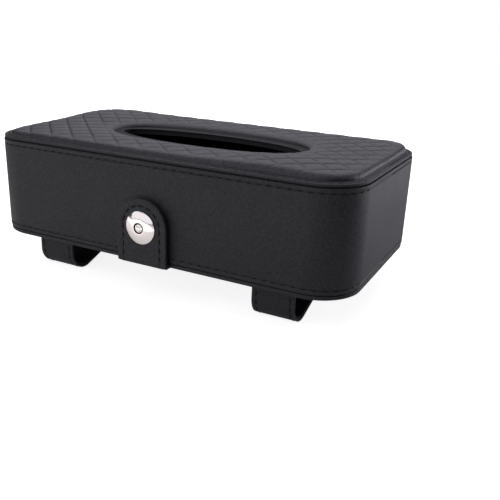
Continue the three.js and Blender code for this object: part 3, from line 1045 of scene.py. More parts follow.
@dataclass
class QuiltedTop:
    """The padded top: diamonds between sewn lines, a rolled edge and a rolled slot."""

    measures: Measures
    finishes: Finishes
    inset: float = 4.6 * MM
    edge: RolledEdge = RolledEdge(3.8 * MM, 2.3 * MM, 1 * MM)
    valley: float = 3.3 * MM
    dome: float = 0.5 * MM
    puff: float = 0.58 * MM
    line_spacing: float = 11.8 * MM
    crease_depth: float = 0.42 * MM
    crease_width: float = 0.56 * MM
    crest_share: float = 0.4
    slot_half_length: float = 67 * MM
    slot_half_width: float = 30 * MM
    slot_roll: RolledEdge = RolledEdge(7 * MM, 2.5 * MM, 0.3 * MM)
    slot_roll_length: float = 5 * MM
    slot_roll_width: float = 7 * MM
    slot_fullness: float = 2.4
    back_lift: float = 0.6 * MM
    skin: float = 0.7 * MM
    swellings: tuple[Swelling, ...] = (
        Swelling(x=72 * MM, y=-46 * MM, reach=34 * MM, height=1.8 * MM),
        Swelling(x=-114 * MM, y=26 * MM, reach=30 * MM, height=2.4 * MM),
        Swelling(x=-112 * MM, y=-52 * MM, reach=18 * MM, height=-1 * MM),
        Swelling(x=114 * MM, y=52 * MM, reach=16 * MM, height=0.7 * MM),
    )
    simulated_frames: int = 15
    pad_bottom: float = field(init=False)
    outline: RoundedRectangle = field(init=False)

    CELL_SHARES = (
        0.0, 0.028, 0.065, 0.13, 0.21, 0.305, 0.4, 0.5, 0.6, 0.695, 0.79, 0.87, 0.935, 0.972)

    def __post_init__(self) -> None:
        """Takes the pad's place from its CAD node."""
        low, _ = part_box("quilted_top")
        self.pad_bottom = low.z
        self.outline = self.measures.outline(24)

    def lattice(self) -> bpy.types.Object:
        """Models a level sheet whose edges run along both families of sewn lines.

        Returns:
            The sheet, wider than the top.
        """
        reach = self.measures.half_length + self.measures.half_width
        cells = 2 * math.ceil(reach / math.sqrt(2) / self.line_spacing)
        per_cell = len(self.CELL_SHARES)
        size = cells * self.line_spacing
        sheet = begin(
            "quilted_leather", bpy.ops.mesh.primitive_grid_add,
            x_subdivisions=cells * per_cell, y_subdivisions=cells * per_cell, size=size)
        shares = np.array([*self.CELL_SHARES, 1.0])

        def space(rows: np.ndarray) -> np.ndarray:
            """Spaces the grid's lines by the shares and turns them along the sewn lines.

            Args:
                rows: The even grid.

            Returns:
                The turned grid.
            """
            step = (rows[:, :2] + size / 2) / self.line_spacing * per_cell
            whole = np.rint(step).astype(int)
            cell, within = np.divmod(whole, per_cell)
            rows[:, :2] = (cell + shares[within]) * self.line_spacing - size / 2
            turned = rows.copy()
            turned[:, 0] = (rows[:, 0] - rows[:, 1]) / math.sqrt(2)
            turned[:, 1] = (rows[:, 0] + rows[:, 1]) / math.sqrt(2)
            return turned

        reshape(sheet, space)
        with editing(sheet, "FACE"):
            pick(sheet, "faces", lambda face: (
                abs(face.calc_center_median().x) > self.measures.half_length
                or abs(face.calc_center_median().y) > self.measures.half_width
                or self.is_in_slot(face.calc_center_median())))
            bpy.ops.mesh.delete(type="FACE")
        return sheet

    def is_in_slot(self, point: Vector) -> bool:
        """Says whether a place of the level sheet is well inside the slot.

        Args:
            point: The place.

        Returns:
            True where the sheet is cut away before it is trimmed.
        """
        long, short = self.slot_cut()
        share = abs(point.x / long) ** self.slot_fullness
        return share + abs(point.y / short) ** self.slot_fullness < 0.7

    def slot_crest(self) -> tuple[float, float]:
        """Gives the half length and half width of the slot's crest."""
        return (self.slot_half_length + self.slot_roll_length,
                self.slot_half_width + self.slot_roll_width)

    def slot_cut(self) -> tuple[float, float]:
        """Gives the half sizes of the hole that the level sheet has before it is rolled in."""
        return tuple(half - self.slot_roll.length() for half in self.slot_crest())

    def edge_start(self) -> float:
        """Gives the inset at which the outer edge begins to roll."""
        return self.inset + self.edge.width

    def trim(self, sheet: bpy.types.Object) -> None:
        """Cuts the sheet to the leather that both rolled edges take.

        Args:
            sheet: The lattice.
        """
        apply(sheet, "SOLIDIFY", thickness=4 * MM, offset=0)
        height = 12 * MM
        cut = self.edge_start() - self.edge.length()
        outer = sweep("cutter", self.outline, [(cut, -height), (cut, height)], False)
        cap_loops(outer)
        oval = Oval(*self.slot_cut(), 128, self.slot_fullness)
        inner = sweep("cutter", oval, [(0, -height), (0, height)], False)
        cap_loops(inner)
        for cutter, operation in ((outer, "INTERSECT"), (inner, "DIFFERENCE")):
            apply(sheet, "BOOLEAN", object=cutter, operation=operation, solver="EXACT")
            bpy.data.objects.remove(cutter)
        level = max(vertex.co.z for vertex in sheet.data.vertices)
        with editing(sheet, "FACE"):
            pick(sheet, "faces", lambda face: min(v.co.z for v in face.verts) < level - 0.1 * MM)
            bpy.ops.mesh.delete(type="FACE")
            bpy.ops.mesh.select_all(action="SELECT")
            bpy.ops.mesh.remove_doubles(threshold=0.04 * MM)
        reshape(sheet, lambda rows: rows * np.array([1, 1, 0]))

    def line_distance(self, rows: np.ndarray) -> np.ndarray:
        """Gives each place's distance from the nearest sewn line.

        Args:
            rows: Places on the level sheet.

        Returns:
            The distances.
        """
        spacing = self.line_spacing
        nearest = []
        for sign in (1, -1):
            across = (rows[:, 0] + sign * rows[:, 1]) / math.sqrt(2)
            nearest.append(np.abs(across - spacing * np.rint(across / spacing)))
        return np.minimum(*nearest)

    def past_edge(self, rows: np.ndarray) -> tuple[np.ndarray, np.ndarray]:
        """Finds how far each place lies past the outer crest.

        Args:
            rows: Places on the level sheet.

        Returns:
            Signed distances, under zero on the face, and the ways out.
        """
        radius = self.measures.corner_radius
        reach = np.array([self.measures.half_length - radius, self.measures.half_width - radius])
        beyond = np.maximum(np.abs(rows[:, :2]) - reach, 0)
        radial = np.maximum(np.hypot(*beyond.T), 1e-9)
        way = np.sign(rows[:, :2]) * beyond / radial[:, None]
        return radial - (radius - self.edge_start()), way

    def past_slot(self, rows: np.ndarray) -> tuple[np.ndarray, np.ndarray]:
        """Finds how far each place lies inside the slot's crest.

        Args:
            rows: Places on the level sheet.

        Returns:
            Distances, under zero on the face, and places on an oval of half sizes one.
        """
        crest = np.array(self.slot_crest())
        low = np.full(len(rows), -2 * self.line_spacing)
        high = np.full(len(rows), min(crest) - 1 * MM)
        for _ in range(30):
            middle = (low + high) / 2
            share = np.abs(rows[:, :2] / (crest - middle[:, None])) ** self.slot_fullness
            is_inside = share.sum(axis=1) < 1
            low = np.where(is_inside, middle, low)
            high = np.where(is_inside, high, middle)
        return low, rows[:, :2] / (crest - low[:, None])

    def inflate(self, sheet: bpy.types.Object) -> None:
        """Blows the diamonds up between the sewn lines by a cloth simulation.

        Args:
            sheet: The trimmed sheet, level. Its heights become shares of the fullest diamond's.
        """
        rows = np.array([vertex.co for vertex in sheet.data.vertices])
        borders = np.minimum(
            self.edge.length() - self.past_edge(rows)[0],
            self.slot_roll.length() - self.past_slot(rows)[0])
        held = np.minimum(self.line_distance(rows), borders)
        pins = sheet.vertex_groups.new(name="sewn")
        pins.add([int(k) for k in np.flatnonzero(held < 0.6 * MM)], 1, "REPLACE")
        cloth = sheet.modifiers.new("cloth", "CLOTH")
        cloth.settings.quality = 6
        cloth.settings.mass = 0.3
        cloth.settings.tension_stiffness = 25
        cloth.settings.compression_stiffness = 10
        cloth.settings.shear_stiffness = 10
        cloth.settings.bending_stiffness = 0.6
        cloth.settings.use_pressure = True
        cloth.settings.uniform_pressure_force = 4
        cloth.settings.effector_weights.gravity = 0
        cloth.settings.vertex_group_mass = "sewn"
        for number in range(1, self.simulated_frames + 1):
            bpy.context.scene.frame_set(number)
        with bpy.context.temp_override(object=sheet, active_object=sheet):
            bpy.ops.object.modifier_apply(modifier=cloth.name)
        bpy.context.scene.frame_set(1)
        shaped = np.array([vertex.co for vertex in sheet.data.vertices])
        full = np.percentile(np.abs(shaped[:, 2]), 97)
        log.info("quilt rises %.2f mm in the simulation", full / MM)
        rows[:, 2] = np.clip(np.abs(shaped[:, 2]) / full, 0, 1.15)
        reshape(sheet, lambda _: rows)

    def quilt(self, sheet: bpy.types.Object) -> None:
        """Puffs the sheet, presses its sewn lines in and rolls both of its edges over.

        Args:
            sheet: The trimmed sheet, with its diamonds' fullness as heights.
        """
        rows = np.array([vertex.co for vertex in sheet.data.vertices])
        past_edge, way = self.past_edge(rows)
        past_slot, oval = self.past_slot(rows)
        on_edge = np.maximum(past_edge, 0)
        on_slot = np.maximum(past_slot, 0)
        fullness = np.clip(1 - on_edge / self.edge.length(), 0, 1)
        fullness *= np.clip(1 - on_slot / self.slot_roll.length(), 0, 1)
        from_crest = np.clip(-np.maximum(past_edge, past_slot) / self.line_spacing, 0, 1)
        calm = self.crest_share + (1 - self.crest_share) * np.sin(from_crest * QUARTER)
        crease = np.exp(-((self.line_distance(rows) / self.crease_width) ** 2))
        relief = self.puff * rows[:, 2] * fullness * calm
        relief -= self.crease_depth * crease * np.sqrt(fullness) * calm

        across, fall, lean = self.edge.at(on_edge)
        slot_across, slot_fall, slot_lean = self.slot_roll.at(on_slot)
        along = 1 - (rows[:, 0] / self.measures.half_length) ** 2
        sideways = 1 - (rows[:, 1] / self.measures.half_width) ** 2
        crown = self.pad_bottom + self.valley + self.dome * along * sideways * from_crest
        swelling = sum(place.at(rows) for place in self.swellings)
        held_down = np.clip(1 - on_slot / self.slot_roll.width, 0, 1)
        from_slot = np.clip(-past_slot / (1.5 * self.line_spacing), 0, 1)
        swelling *= np.sin(from_slot * QUARTER) ** 2
        lift = self.back_lift * np.clip(rows[:, 1] / self.measures.half_width, 0, 1)

        shaped = rows.copy()
        shift = across - on_edge + relief * np.sin(lean)
        shaped[:, :2] += np.where(past_edge > 0, shift, 0)[:, None] * way
        share = (1 - slot_across / self.slot_roll.width)[:, None]
        rim = np.array([self.slot_half_length, self.slot_half_width])
        roll = np.array([self.slot_roll_length, self.slot_roll_width])
        is_rolled_in = past_slot > 0
        shaped[is_rolled_in, :2] = (oval * (rim + roll * share))[is_rolled_in]
        upright = np.clip(1 - fall / (self.edge.depth + self.edge.straight), 0, 1)
        shaped[:, 2] = crown - fall - slot_fall + relief * np.cos(np.maximum(lean, slot_lean))
        shaped[:, 2] += (swelling + lift) * upright * held_down
        reshape(sheet, lambda _: shaped)
        # Painted shade and dirt: the share by which the leather's colour darkens along the sewn lines.
        lines = sheet.data.attributes.new("sewn_line", "FLOAT", "POINT")
        lines.data.foreach_set("value", crease * np.sqrt(fullness))

    def build(self) -> None:
        """Makes the quilted top."""
        sheet = self.lattice()
        self.trim(sheet)
        self.inflate(sheet)
        self.quilt(sheet)
        apply(sheet, "SOLIDIFY", thickness=self.skin, offset=-1, use_even_offset=False)
        smooth(sheet, math.radians(60))
        finish_piece(sheet, self.finishes.quilted, "box", ["quilted_top", "top_foam"])


@dataclass
class SlotCollar:
    """The leather collar inside the slot and the black lining that it is sewn to."""

    measures: Measures
    finishes: Finishes
    half_length: float = 64 * MM
    half_width: float = 23.2 * MM
    leather_depth: float = 3.3 * MM
    ledge: float = 9.3 * MM
    lap: float = 0.1 * MM
    flange: float = 7 * MM

    def build(self) -> None:
        """Makes the collar's leather and the felt that carries it on down."""
        low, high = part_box("slot_facing")
        thickness = self.measures.thin_leather
        outline = Oval(self.half_length, self.half_width)
        bottom = high.z - self.leather_depth
        lip = thickness / 2
        section: Section = [(0, bottom), (0, high.z - lip)]
        section += arc((-lip, high.z - lip), lip, 0, 2 * QUARTER, 8)[1:]
        section += [(-thickness, bottom)]
        collar = sweep("slot_collar", outline, section)
        smooth(collar)
        finish_piece(collar, self.finishes.leather, "box", ["slot_facing"])
        foot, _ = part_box("quilted_top")
        top = foot.z + self.measures.lining
        ledge = sweep("slot_ledge", outline, [
            (-self.ledge, foot.z),
            (-self.ledge, top),
            (-thickness, top),
            (-thickness, foot.z),
        ])
        finish_piece(ledge, self.finishes.lining, "box")
        lining = sweep("slot_lining", outline, [
            (-self.lap, low.z),
            (-self.lap, bottom),
            (-thickness, bottom),
            (-thickness, low.z + self.measures.lining),
            (-self.flange, low.z + self.measures.lining),
            (-self.flange, low.z),
        ])
        smooth(lining)
        finish_piece(lining, self.finishes.lining, "box")


# Binding round the pad


@dataclass
class Binding:
    """The narrow strip, stitched down, that frames the pad."""

    measures: Measures
    finishes: Finishes
    inset: float = 0.4 * MM
    width: float = 4.2 * MM
    lip: float = 0.5 * MM
    slope: float = 0.6 * MM
    lift: float = 0.35 * MM
    stitch_inset: float = 2.5 * MM
    groove_depth: float = 0.45 * MM
    groove_half_width: float = 0.9 * MM

    def height(self, across: float, top: float) -> float:
        """Gives the strip's height, which falls outwards and dips under the stitches.

        Args:
            across: The place's inset.
            top: Height of the strip's inner edge.

        Returns:
            The height there.
        """
        fall = self.slope * (1 - (across - self.inset) / self.width)
        share = min(abs(across - self.stitch_inset) / self.groove_half_width, 1)
        return top - fall - groove_fall(share, self.groove_depth)

    def build(self) -> None:
        """Makes the strip and its row of stitches."""
        low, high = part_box("top_binding")
        outline = self.measures.outline()
        inner = self.inset + self.width - self.measures.layer_gap
        edge = high.z - self.slope - self.lip
        foot = low.z + self.lift
        section: Section = [(self.inset, foot), (self.inset, edge)]
        section += arc((self.inset + self.lip, edge), self.lip, 2 * QUARTER, QUARTER, 6)[1:]
        section += [
            (across, self.height(across, high.z))
            for across in np.linspace(self.inset + 1.6 * self.lip, inner, 15)]
        section += [
            (inner, high.z - self.measures.thin_leather),
            (self.inset + self.measures.thin_leather, edge),
            (self.inset + self.measures.thin_leather, foot),
        ]
        piece = sweep("top_binding_strip", outline, section)
        smooth(piece)
        finish_piece(piece, self.finishes.leather, "box", ["top_binding"])
        seats = round_seats(
            outline, self.stitch_inset, self.measures.stitch_pitch,
            lambda point, out: Vector((
                point.x, point.y, self.height(self.stitch_inset, high.z))), 0)
        Stitching(self.finishes.thread).sew("binding_stitches", seats, "box")


# Wall


@dataclass
class Wall:
    """The leather round the box, folded over its board at the top and the bottom."""

    measures: Measures
    finishes: Finishes
    fold_radius: float = 0.9 * MM
    board: float = 2 * MM
    seam: float = 2.7 * MM
    groove_depth: float = 0.45 * MM
    groove_half_width: float = 0.8 * MM

    def section(self) -> Section:
        """Draws the cover's section, from the bottom fold up and back down inside.

        Returns:
            Insets and heights.
        """
        bottom = self.measures.wall_bottom
        top = self.measures.wall_top
        leather = self.measures.leather
        lip = leather + self.measures.layer_gap + self.board
        fold = self.fold_radius
        outside = arc((fold, bottom + fold), fold, 3 * QUARTER, 2 * QUARTER, 6)
        outside += dip(0, bottom + self.seam, self.groove_depth, self.groove_half_width)
        outside += dip(0, top - self.seam, self.groove_depth, self.groove_half_width)
        outside += arc((fold, top - fold), fold, 2 * QUARTER, QUARTER, 6)
        inside = [
            (lip, top),
            (lip, top - leather),
            (leather, top - leather),
            (leather, bottom + leather),
            (lip, bottom + leather),
            (lip, bottom),
        ]
        return outside + inside

    def build(self) -> None:
        """Makes the cover and its two rows of stitches."""
        outline = self.measures.outline(28)
        piece = sweep("wall_leather", outline, self.section())
        smooth(piece)
        finish_piece(piece, self.finishes.leather, "box", ["wall_cover"])
        heights = {
            "wall_bottom_stitches": self.measures.wall_bottom + self.seam,
            "wall_top_stitches": self.measures.wall_top - self.seam,
        }
        for name, height in heights.items():
            seats = round_seats(
                outline, self.groove_depth, self.measures.stitch_pitch,
                lambda point, out: Vector((point.x, point.y, height)), 1)
            Stitching(self.finishes.thread).sew(name, seats, "box")


# Leather strips that are cut flat and bent along a line


@dataclass
class BentLine:
    """A line in Y and Z that leather is bent along, drawn as with a pen."""

    y: list[float]
    z: list[float]
    headings: list[float]
    distances: list[float] = field(default_factory=lambda: [0.0])

    def go(self, length: float) -> "BentLine":
        """Draws a straight run.

        Args:
            length: Its length.

        Returns:
            The line.
        """
        heading = self.headings[-1]
        self.y.append(self.y[-1] + math.cos(heading) * length)
        self.z.append(self.z[-1] + math.sin(heading) * length)
        self.headings.append(heading)
        self.distances.append(self.distances[-1] + length)
        return self

    def bend(self, radius: float, angle: float, steps: int) -> "BentLine":
        """Draws a bend, to the left where the angle is positive.

        Args:
            radius: The bend's radius.
            angle: How far it turns.
            steps: How many steps it is drawn in.

        Returns:
            The line.
        """
        side = math.copysign(radius, angle)
        for _ in range(steps):
            heading = self.headings[-1]
            after = heading + angle / steps
            self.y.append(self.y[-1] + side * (math.sin(after) - math.sin(heading)))
            self.z.append(self.z[-1] - side * (math.cos(after) - math.cos(heading)))
            self.headings.append(after)
            self.distances.append(self.distances[-1] + radius * abs(angle) / steps)
        return self

    def length(self) -> float:
        """Gives the line's length."""
        return self.distances[-1]

    def bent(self, rows: np.ndarray) -> np.ndarray:
        """Takes places on the flat leather to their places on the line.

        Args:
            rows: For each place X across the strip, Y along it and Z to the line's left.

        Returns:
            The places in space.
        """
        heading = np.interp(rows[:, 1], self.distances, self.headings)
        y = np.interp(rows[:, 1], self.distances, self.y) - np.sin(heading) * rows[:, 2]
        z = np.interp(rows[:, 1], self.distances, self.z) + np.cos(heading) * rows[:, 2]
        return np.column_stack([rows[:, 0], y, z])


@dataclass(frozen=True)
class StripOutline(Outline):
    """A flat strip's outline, cut straight across or ended by a round arch."""

    half_width: float
    low: float
    high: float
    is_arched: bool
    steps: int = 44

    def points(self, inset: float) -> list[Vector]:
        """Gives the outline's points, anticlockwise, with its sides drawn in.

        Args:
            inset: How far the sides are drawn in.

        Returns:
            Points at height zero.
        """
        half = self.half_width - inset
        start = [Vector((-half, self.low, 0)), Vector((half, self.low, 0))]
        if not self.is_arched:
            return start + [Vector((half, self.high, 0)), Vector((-half, self.high, 0))]
        centre = self.high - self.half_width
        turn = [2 * QUARTER * step / self.steps for step in range(self.steps + 1)]
        return start + [Vector((half * math.cos(a), centre + half * math.sin(a), 0)) for a in turn]

    def moved(self, point: Vector, inwards: float) -> Vector:
        """Moves a point in from the side or the arch.

        Args:
            point: A place near the outline.
            inwards: How far it moves.

        Returns:
            The new place.
        """
        past = point.y - (self.high - self.half_width)
        if self.is_arched and past > 0:
            return point - Vector((point.x, past, 0)).normalized() * inwards
        return Vector((point.x - inwards * math.copysign(1, point.x), point.y, point.z))


@dataclass
class BentStrip:
    """A strip cut flat, with a pressed stitch groove, then bent along a line."""

    name: str
    line: BentLine
    width: float
    thickness: float
    lift: float
    side: int = 1
    middle: float = 0.0
    groove_inset: float = 2.8 * MM
    groove_depth: float = 0.3 * MM
    groove_half_width: float = 0.8 * MM
    edge_round: float = 0.35 * MM
    hem_width: float = 0.0
    hem_depth: float = 0.0
    is_arched: bool = False

    OVERHANG = 12 * MM

    def section(self) -> Section:
        """Draws half of the strip's section, from under it round its edge and over its face.

        Returns:
            Insets and heights.
        """
        inner = self.groove_inset + self.groove_half_width + self.edge_round
        small = 0.15 * MM
        points = [(inner, 0)]
        if self.hem_depth:
            points += [(self.hem_width, 0), (self.hem_width, -self.hem_depth)]
        points += [(small, -self.hem_depth), (0, small - self.hem_depth)]
        centre = (self.edge_round, self.thickness - self.edge_round)
        points += arc(centre, self.edge_round, 2 * QUARTER, QUARTER, 5)
        for step in range(9):
            share = step / 4 - 1
            points.append((
                self.groove_inset + share * self.groove_half_width,
                self.thickness - groove_fall(share, self.groove_depth)))
        return points + [(inner, self.thickness)]

    def build(self) -> bpy.types.Object:
        """Makes the strip.

        Returns:
            The bent piece, without a material.
        """
        end = self.line.length()
        high = end if self.is_arched else end + self.OVERHANG
        outline = StripOutline(self.width / 2, -self.OVERHANG, high, self.is_arched)
        piece = sweep(self.name, outline, self.section(), is_closed=False)
        cap_loops(piece)
        with editing(piece, "FACE"):
            cuts = [(0, -1, True)] + [(along, 1, False) for along in self.line.distances[1:-1]]
            cuts += [] if self.is_arched else [(end, 1, True)]
            for along, way, is_end in cuts:
                bpy.ops.mesh.select_all(action="SELECT")
                bpy.ops.mesh.bisect(
                    plane_co=(0, along, 0), plane_no=(0, way, 0), clear_outer=is_end,
                    use_fill=is_end)

        def bend(rows: np.ndarray) -> np.ndarray:
            """Lays the flat strip beside its line.

            Args:
                rows: The flat strip's places.

            Returns:
                The bent strip's places.
            """
            rows[:, 2] = (rows[:, 2] + self.lift) * self.side
            rows[:, 0] += self.middle
            return self.line.bent(rows)

        reshape(piece, bend)
        close_up(piece)
        smooth(piece)
        return piece

    def seats(self, pitch: float, start: float = 0, sink: float = 0.15 * MM) -> list[Seat]:
        """Spaces stitches along the groove: up one side, over the arch and down the other.

        Args:
            pitch: The stitches' pitch.
            start: Distance along the line where the rows begin.
            sink: How deep under the leather's face the thread lies.

        Returns:
            The stitches' seats.
        """
        half = self.width / 2 - self.groove_inset
        straight = self.line.length() - start - (self.width / 2 if self.is_arched else 0)
        turn = 2 * QUARTER * half if self.is_arched else 0
        total = 2 * straight + turn
        count = round(total / pitch)
        flat = []
        for step in range(count):
            along = (step + 0.5) * total / count
            if along < straight:
                flat.append((-half, start + along, QUARTER))
            elif along < straight + turn:
                angle = 2 * QUARTER - (along - straight) / half
                centre = self.line.length() - self.width / 2
                flat.append((half * math.cos(angle), centre + half * math.sin(angle), angle - QUARTER))
            else:
                flat.append((half, start + total - along, -QUARTER))
        height = (self.thickness + self.lift - sink) * self.side
        found = []
        for x, y, heading in flat:
            way = np.array([math.cos(heading), math.sin(heading)]) * 0.2 * MM
            rows = np.array([
                [x + self.middle, y, height],
                [x + way[0] + self.middle, y + way[1], height],
                [x + self.middle, y, height + 0.2 * MM * self.side],
            ])
            place, ahead, over = (Vector(row) for row in self.line.bent(rows))
            found.append((place, (ahead - place).normalized(), (over - place).normalized()))
        return found


def spin(name: str, profile: Section, steps: int = 72) -> bpy.types.Object:
    """Turns a profile about Z.

    Args:
        name: Name of the piece.
        profile: Radii and heights, from the axis out and back to it, or closed on itself.
        steps: How many steps it is turned in.

    Returns:
        The turned piece.
    """
    piece = begin(name, bpy.ops.mesh.primitive_plane_add, size=1)
    with editing(piece):
        bpy.ops.mesh.select_all(action="SELECT")
        bpy.ops.mesh.merge(type="CENTER")
        place_picked(piece, lambda point: Vector((profile[0][0], 0, profile[0][1])))
        for radius, height in profile[1:]:
            bpy.ops.mesh.extrude_vertices_move()
            place_picked(piece, lambda point: Vector((radius, 0, height)))
        bpy.ops.mesh.select_all(action="SELECT")
        bpy.ops.mesh.spin(steps=steps, angle=4 * QUARTER, center=(0, 0, 0), axis=(0, 0, 1))
    close_up(piece, 0.004 * MM)
    return piece


# Bottom panel


@dataclass
class BottomPanel:
    """The panel that opens, with the leather that hinges it at the back."""

    measures: Measures
    finishes: Finishes
    inset: float = 0.4 * MM
    fold_radius: float = 0.6 * MM
    hinge_length: float = 176 * MM
    hinge_overlap: float = 12 * MM
    slack_radius: float = 6 * MM
    slack_angle: float = math.radians(12)
    bend_radius: float = 1.5 * MM

    def build(self) -> None:
        """Makes the panel's cover and the hinge's leather."""
        _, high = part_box("base_cover")
        skin = self.measures.thin_leather
        fold = self.fold_radius
        rim = high.z
        section: Section = [(self.inset + skin, skin), (self.inset + skin, rim)]
        section += arc((self.inset + fold, rim - fold), fold, QUARTER, 2 * QUARTER, 6)
        section += arc((self.inset + fold, fold), fold, 2 * QUARTER, 3 * QUARTER, 6)
        piece = sweep("base_leather", self.measures.outline(28), section, is_closed=False)
        cap_loops(piece)
        smooth(piece)
        finish_piece(piece, self.finishes.leather, "base", ["base_cover"])
        self.hinge()

    def hinge(self) -> None:
        """Makes the leather that is sewn to the wall's back and bends under the panel."""
        low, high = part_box("hinge_strip")
        middle = (low.y + high.y) / 2
        line = BentLine([middle], [high.z], [-QUARTER])
        line.go(high.z - self.measures.wall_bottom)
        line.bend(self.slack_radius, -self.slack_angle, 4)
        line.bend(self.bend_radius, self.slack_angle - QUARTER, 8)
        line.go(self.hinge_overlap)
        strip = BentStrip(
            "hinge_leather", line, self.hinge_length, high.y - low.y, -(high.y - low.y) / 2)
        piece = strip.build()
        finish_piece(piece, self.finishes.leather, None, ["hinge_strip"])
        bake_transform(piece)


# Tongue and its snap


@dataclass
class Tongue:
    """The stitched tongue that closes the panel and carries the snap."""

    measures: Measures
    finishes: Finishes
    foot_length: float = 5 * MM
    foot_radius: float = 0.9 * MM
    backing_inset: float = 1.7 * MM
    backing_lift: float = 1.4 * MM
    pitch: float = 5 * MM

    def build(self) -> None:
        """Makes the two plies, the stitching and the snap."""
        low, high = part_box("tongue_face")
        skin = self.measures.thin_leather - self.measures.layer_gap
        line = BentLine([low.y + self.foot_radius + skin + self.foot_length], [skin], [2 * QUARTER])
        line.go(self.foot_length).bend(self.foot_radius, -QUARTER, 8)
        line.go(high.z - line.z[-1])
        face = BentStrip(
            "tongue_leather", line, high.x - low.x, skin, 0, groove_inset=4.2 * MM,
            edge_round=0.5 * MM, groove_depth=0.35 * MM, hem_width=1.6 * MM,
            hem_depth=1.2 * MM, is_arched=True)
        piece = face.build()
        finish_piece(piece, self.finishes.leather, None, ["tongue_face"])
        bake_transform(piece)
        seats = face.seats(self.pitch, self.foot_length + 3 * MM)
        Stitching(self.finishes.thread, radius=0.42 * MM).sew("tongue_stitches", seats, "tongue")
        self.backing()
        Snap(self.finishes).build()

    def backing(self) -> None:
        """Makes the inner ply."""
        low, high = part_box("tongue_backing")
        height = high.z - low.z - self.backing_lift - self.backing_inset
        width = high.x - low.x - 2 * self.backing_inset
        line = BentLine([low.y], [low.z + self.backing_lift], [QUARTER]).go(height)
        ply = BentStrip(
            "tongue_back_leather", line, width, high.y - low.y, 0, side=-1, is_arched=True)
        finish_piece(ply.build(), self.finishes.leather, "tongue", ["tongue_backing"])


@dataclass
class Snap:
    """The metal snap on the tongue, each piece turned about its axis."""

    finishes: Finishes
    rim: float = 0.55 * MM
    rim_turn: float = 0.5 * MM
    well_share: float = 0.36
    well_depth: float = 1.1 * MM
    well_lip: float = 0.35 * MM
    sheet: float = 0.4 * MM
    ring_thickness: float = 0.1 * MM
    head_radius: float = 2.5 * MM
    head_height: float = 1.2 * MM
    head_round: float = 0.4 * MM
    shank_radius: float = 1.1 * MM

    def build(self) -> None:
        """Makes the domed cap, the dark ring of painted shade in its well and the rivet with its head.
        """
        low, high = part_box("snap_cap")
        level = (low.z + high.z) / 2
        radius = (high.x - low.x) / 2
        height = high.y - low.y
        well = radius * self.well_share
        self.turned("snap_dome", self.dome(radius, height, well), high.y, level, "snap_cap")
        # A dark ring of painted shade in the cap's well.
        self.turned("snap_well_shade", self.ring(height, well), high.y, level, "")
        low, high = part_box("snap_rivet")
        self.turned("snap_head", self.rivet(high.y - low.y), high.y, level, "snap_rivet")

    def dome(self, radius: float, height: float, well: float) -> Section:
        """Draws the cap's profile: rim, dome and the well in its middle.

        Args:
            radius: The cap's radius.
            height: Its height.
            well: The well's radius.

        Returns:
            Radii and heights.
        """
        turn = radius - self.rim_turn
        profile: Section = [(turn, 0), (radius, 0.1 * MM), (radius, self.rim)]
        for step in range(1, 15):
            share = step / 14
            profile.append((
                radius - (radius - well) * share,
                self.rim + (height - self.rim) * math.sin(share * QUARTER) ** 0.9))
        lip = (well - self.well_lip, height - self.well_lip)
        floor = height - self.well_depth
        profile += arc(lip, self.well_lip, QUARTER, 0, 4)[1:]
        profile += [(well - 0.1 * MM, floor), (0, floor), (0, floor - self.sheet)]
        return profile + [(radius - 1 * MM, 0.2 * MM), (turn, 0)]

    def ring(self, height: float, well: float) -> Section:
        """Draws the profile of the dark ring that lines the well, painted shade in the well's gap.

        Args:
            height: The cap's height.
            well: The well's radius.

        Returns:
            Radii and heights.
        """
        bore = well - 0.12 * MM
        foot = height - self.well_depth + 0.05 * MM
        top = height - 0.3 * MM
        inside = bore - self.ring_thickness
        face = foot + self.ring_thickness
        inner = 1.2 * MM
        return [
            (inner, foot), (bore, foot), (bore, top), (inside, top), (inside, face),
            (inner, face), (inner, foot)]

    def rivet(self, length: float) -> Section:
        """Draws the rivet's profile, from its foot to its hollowed head.

        Args:
            length: The rivet's length.

        Returns:
            Radii and heights.
        """
        shank = self.shank_radius
        base = length - self.head_height
        corner = (self.head_radius - self.head_round, base + 0.5 * MM)
        profile: Section = [(0, 0), (shank, 0), (shank, base), (self.head_radius, base)]
        profile += arc(corner, self.head_round, 0, QUARTER, 5)
        return profile + [(1.5 * MM, length), (shank, length - 0.2 * MM), (0, length - 0.45 * MM)]

    def turned(self, name: str, profile: Section, foot: float, height: float, node: str) -> None:
        """Turns a piece of the snap and points it out of the wall.

        Args:
            name: The piece's name.
            profile: Its radii and heights over its foot.
            foot: Where its foot lies in Y.
            height: The snap's height.
            node: The CAD node that it replaces, or nothing for the dark ring of painted shade in the
                well.
        """
        piece = spin(name, profile)
        with editing(piece):
            bpy.ops.mesh.select_all(action="SELECT")
            bpy.ops.transform.rotate(value=-QUARTER, orient_axis="X", center_override=(0, 0, 0))
            bpy.ops.transform.translate(value=(0, foot, height))
        smooth(piece)
        # Nickel for the cap and rivet; the ring takes the dark ferrite coat as painted shade in the
        # well.
        coat = self.finishes.nickel if node else self.finishes.magnet
        finish_piece(piece, coat, "tongue", [node] if node else [])


# Straps


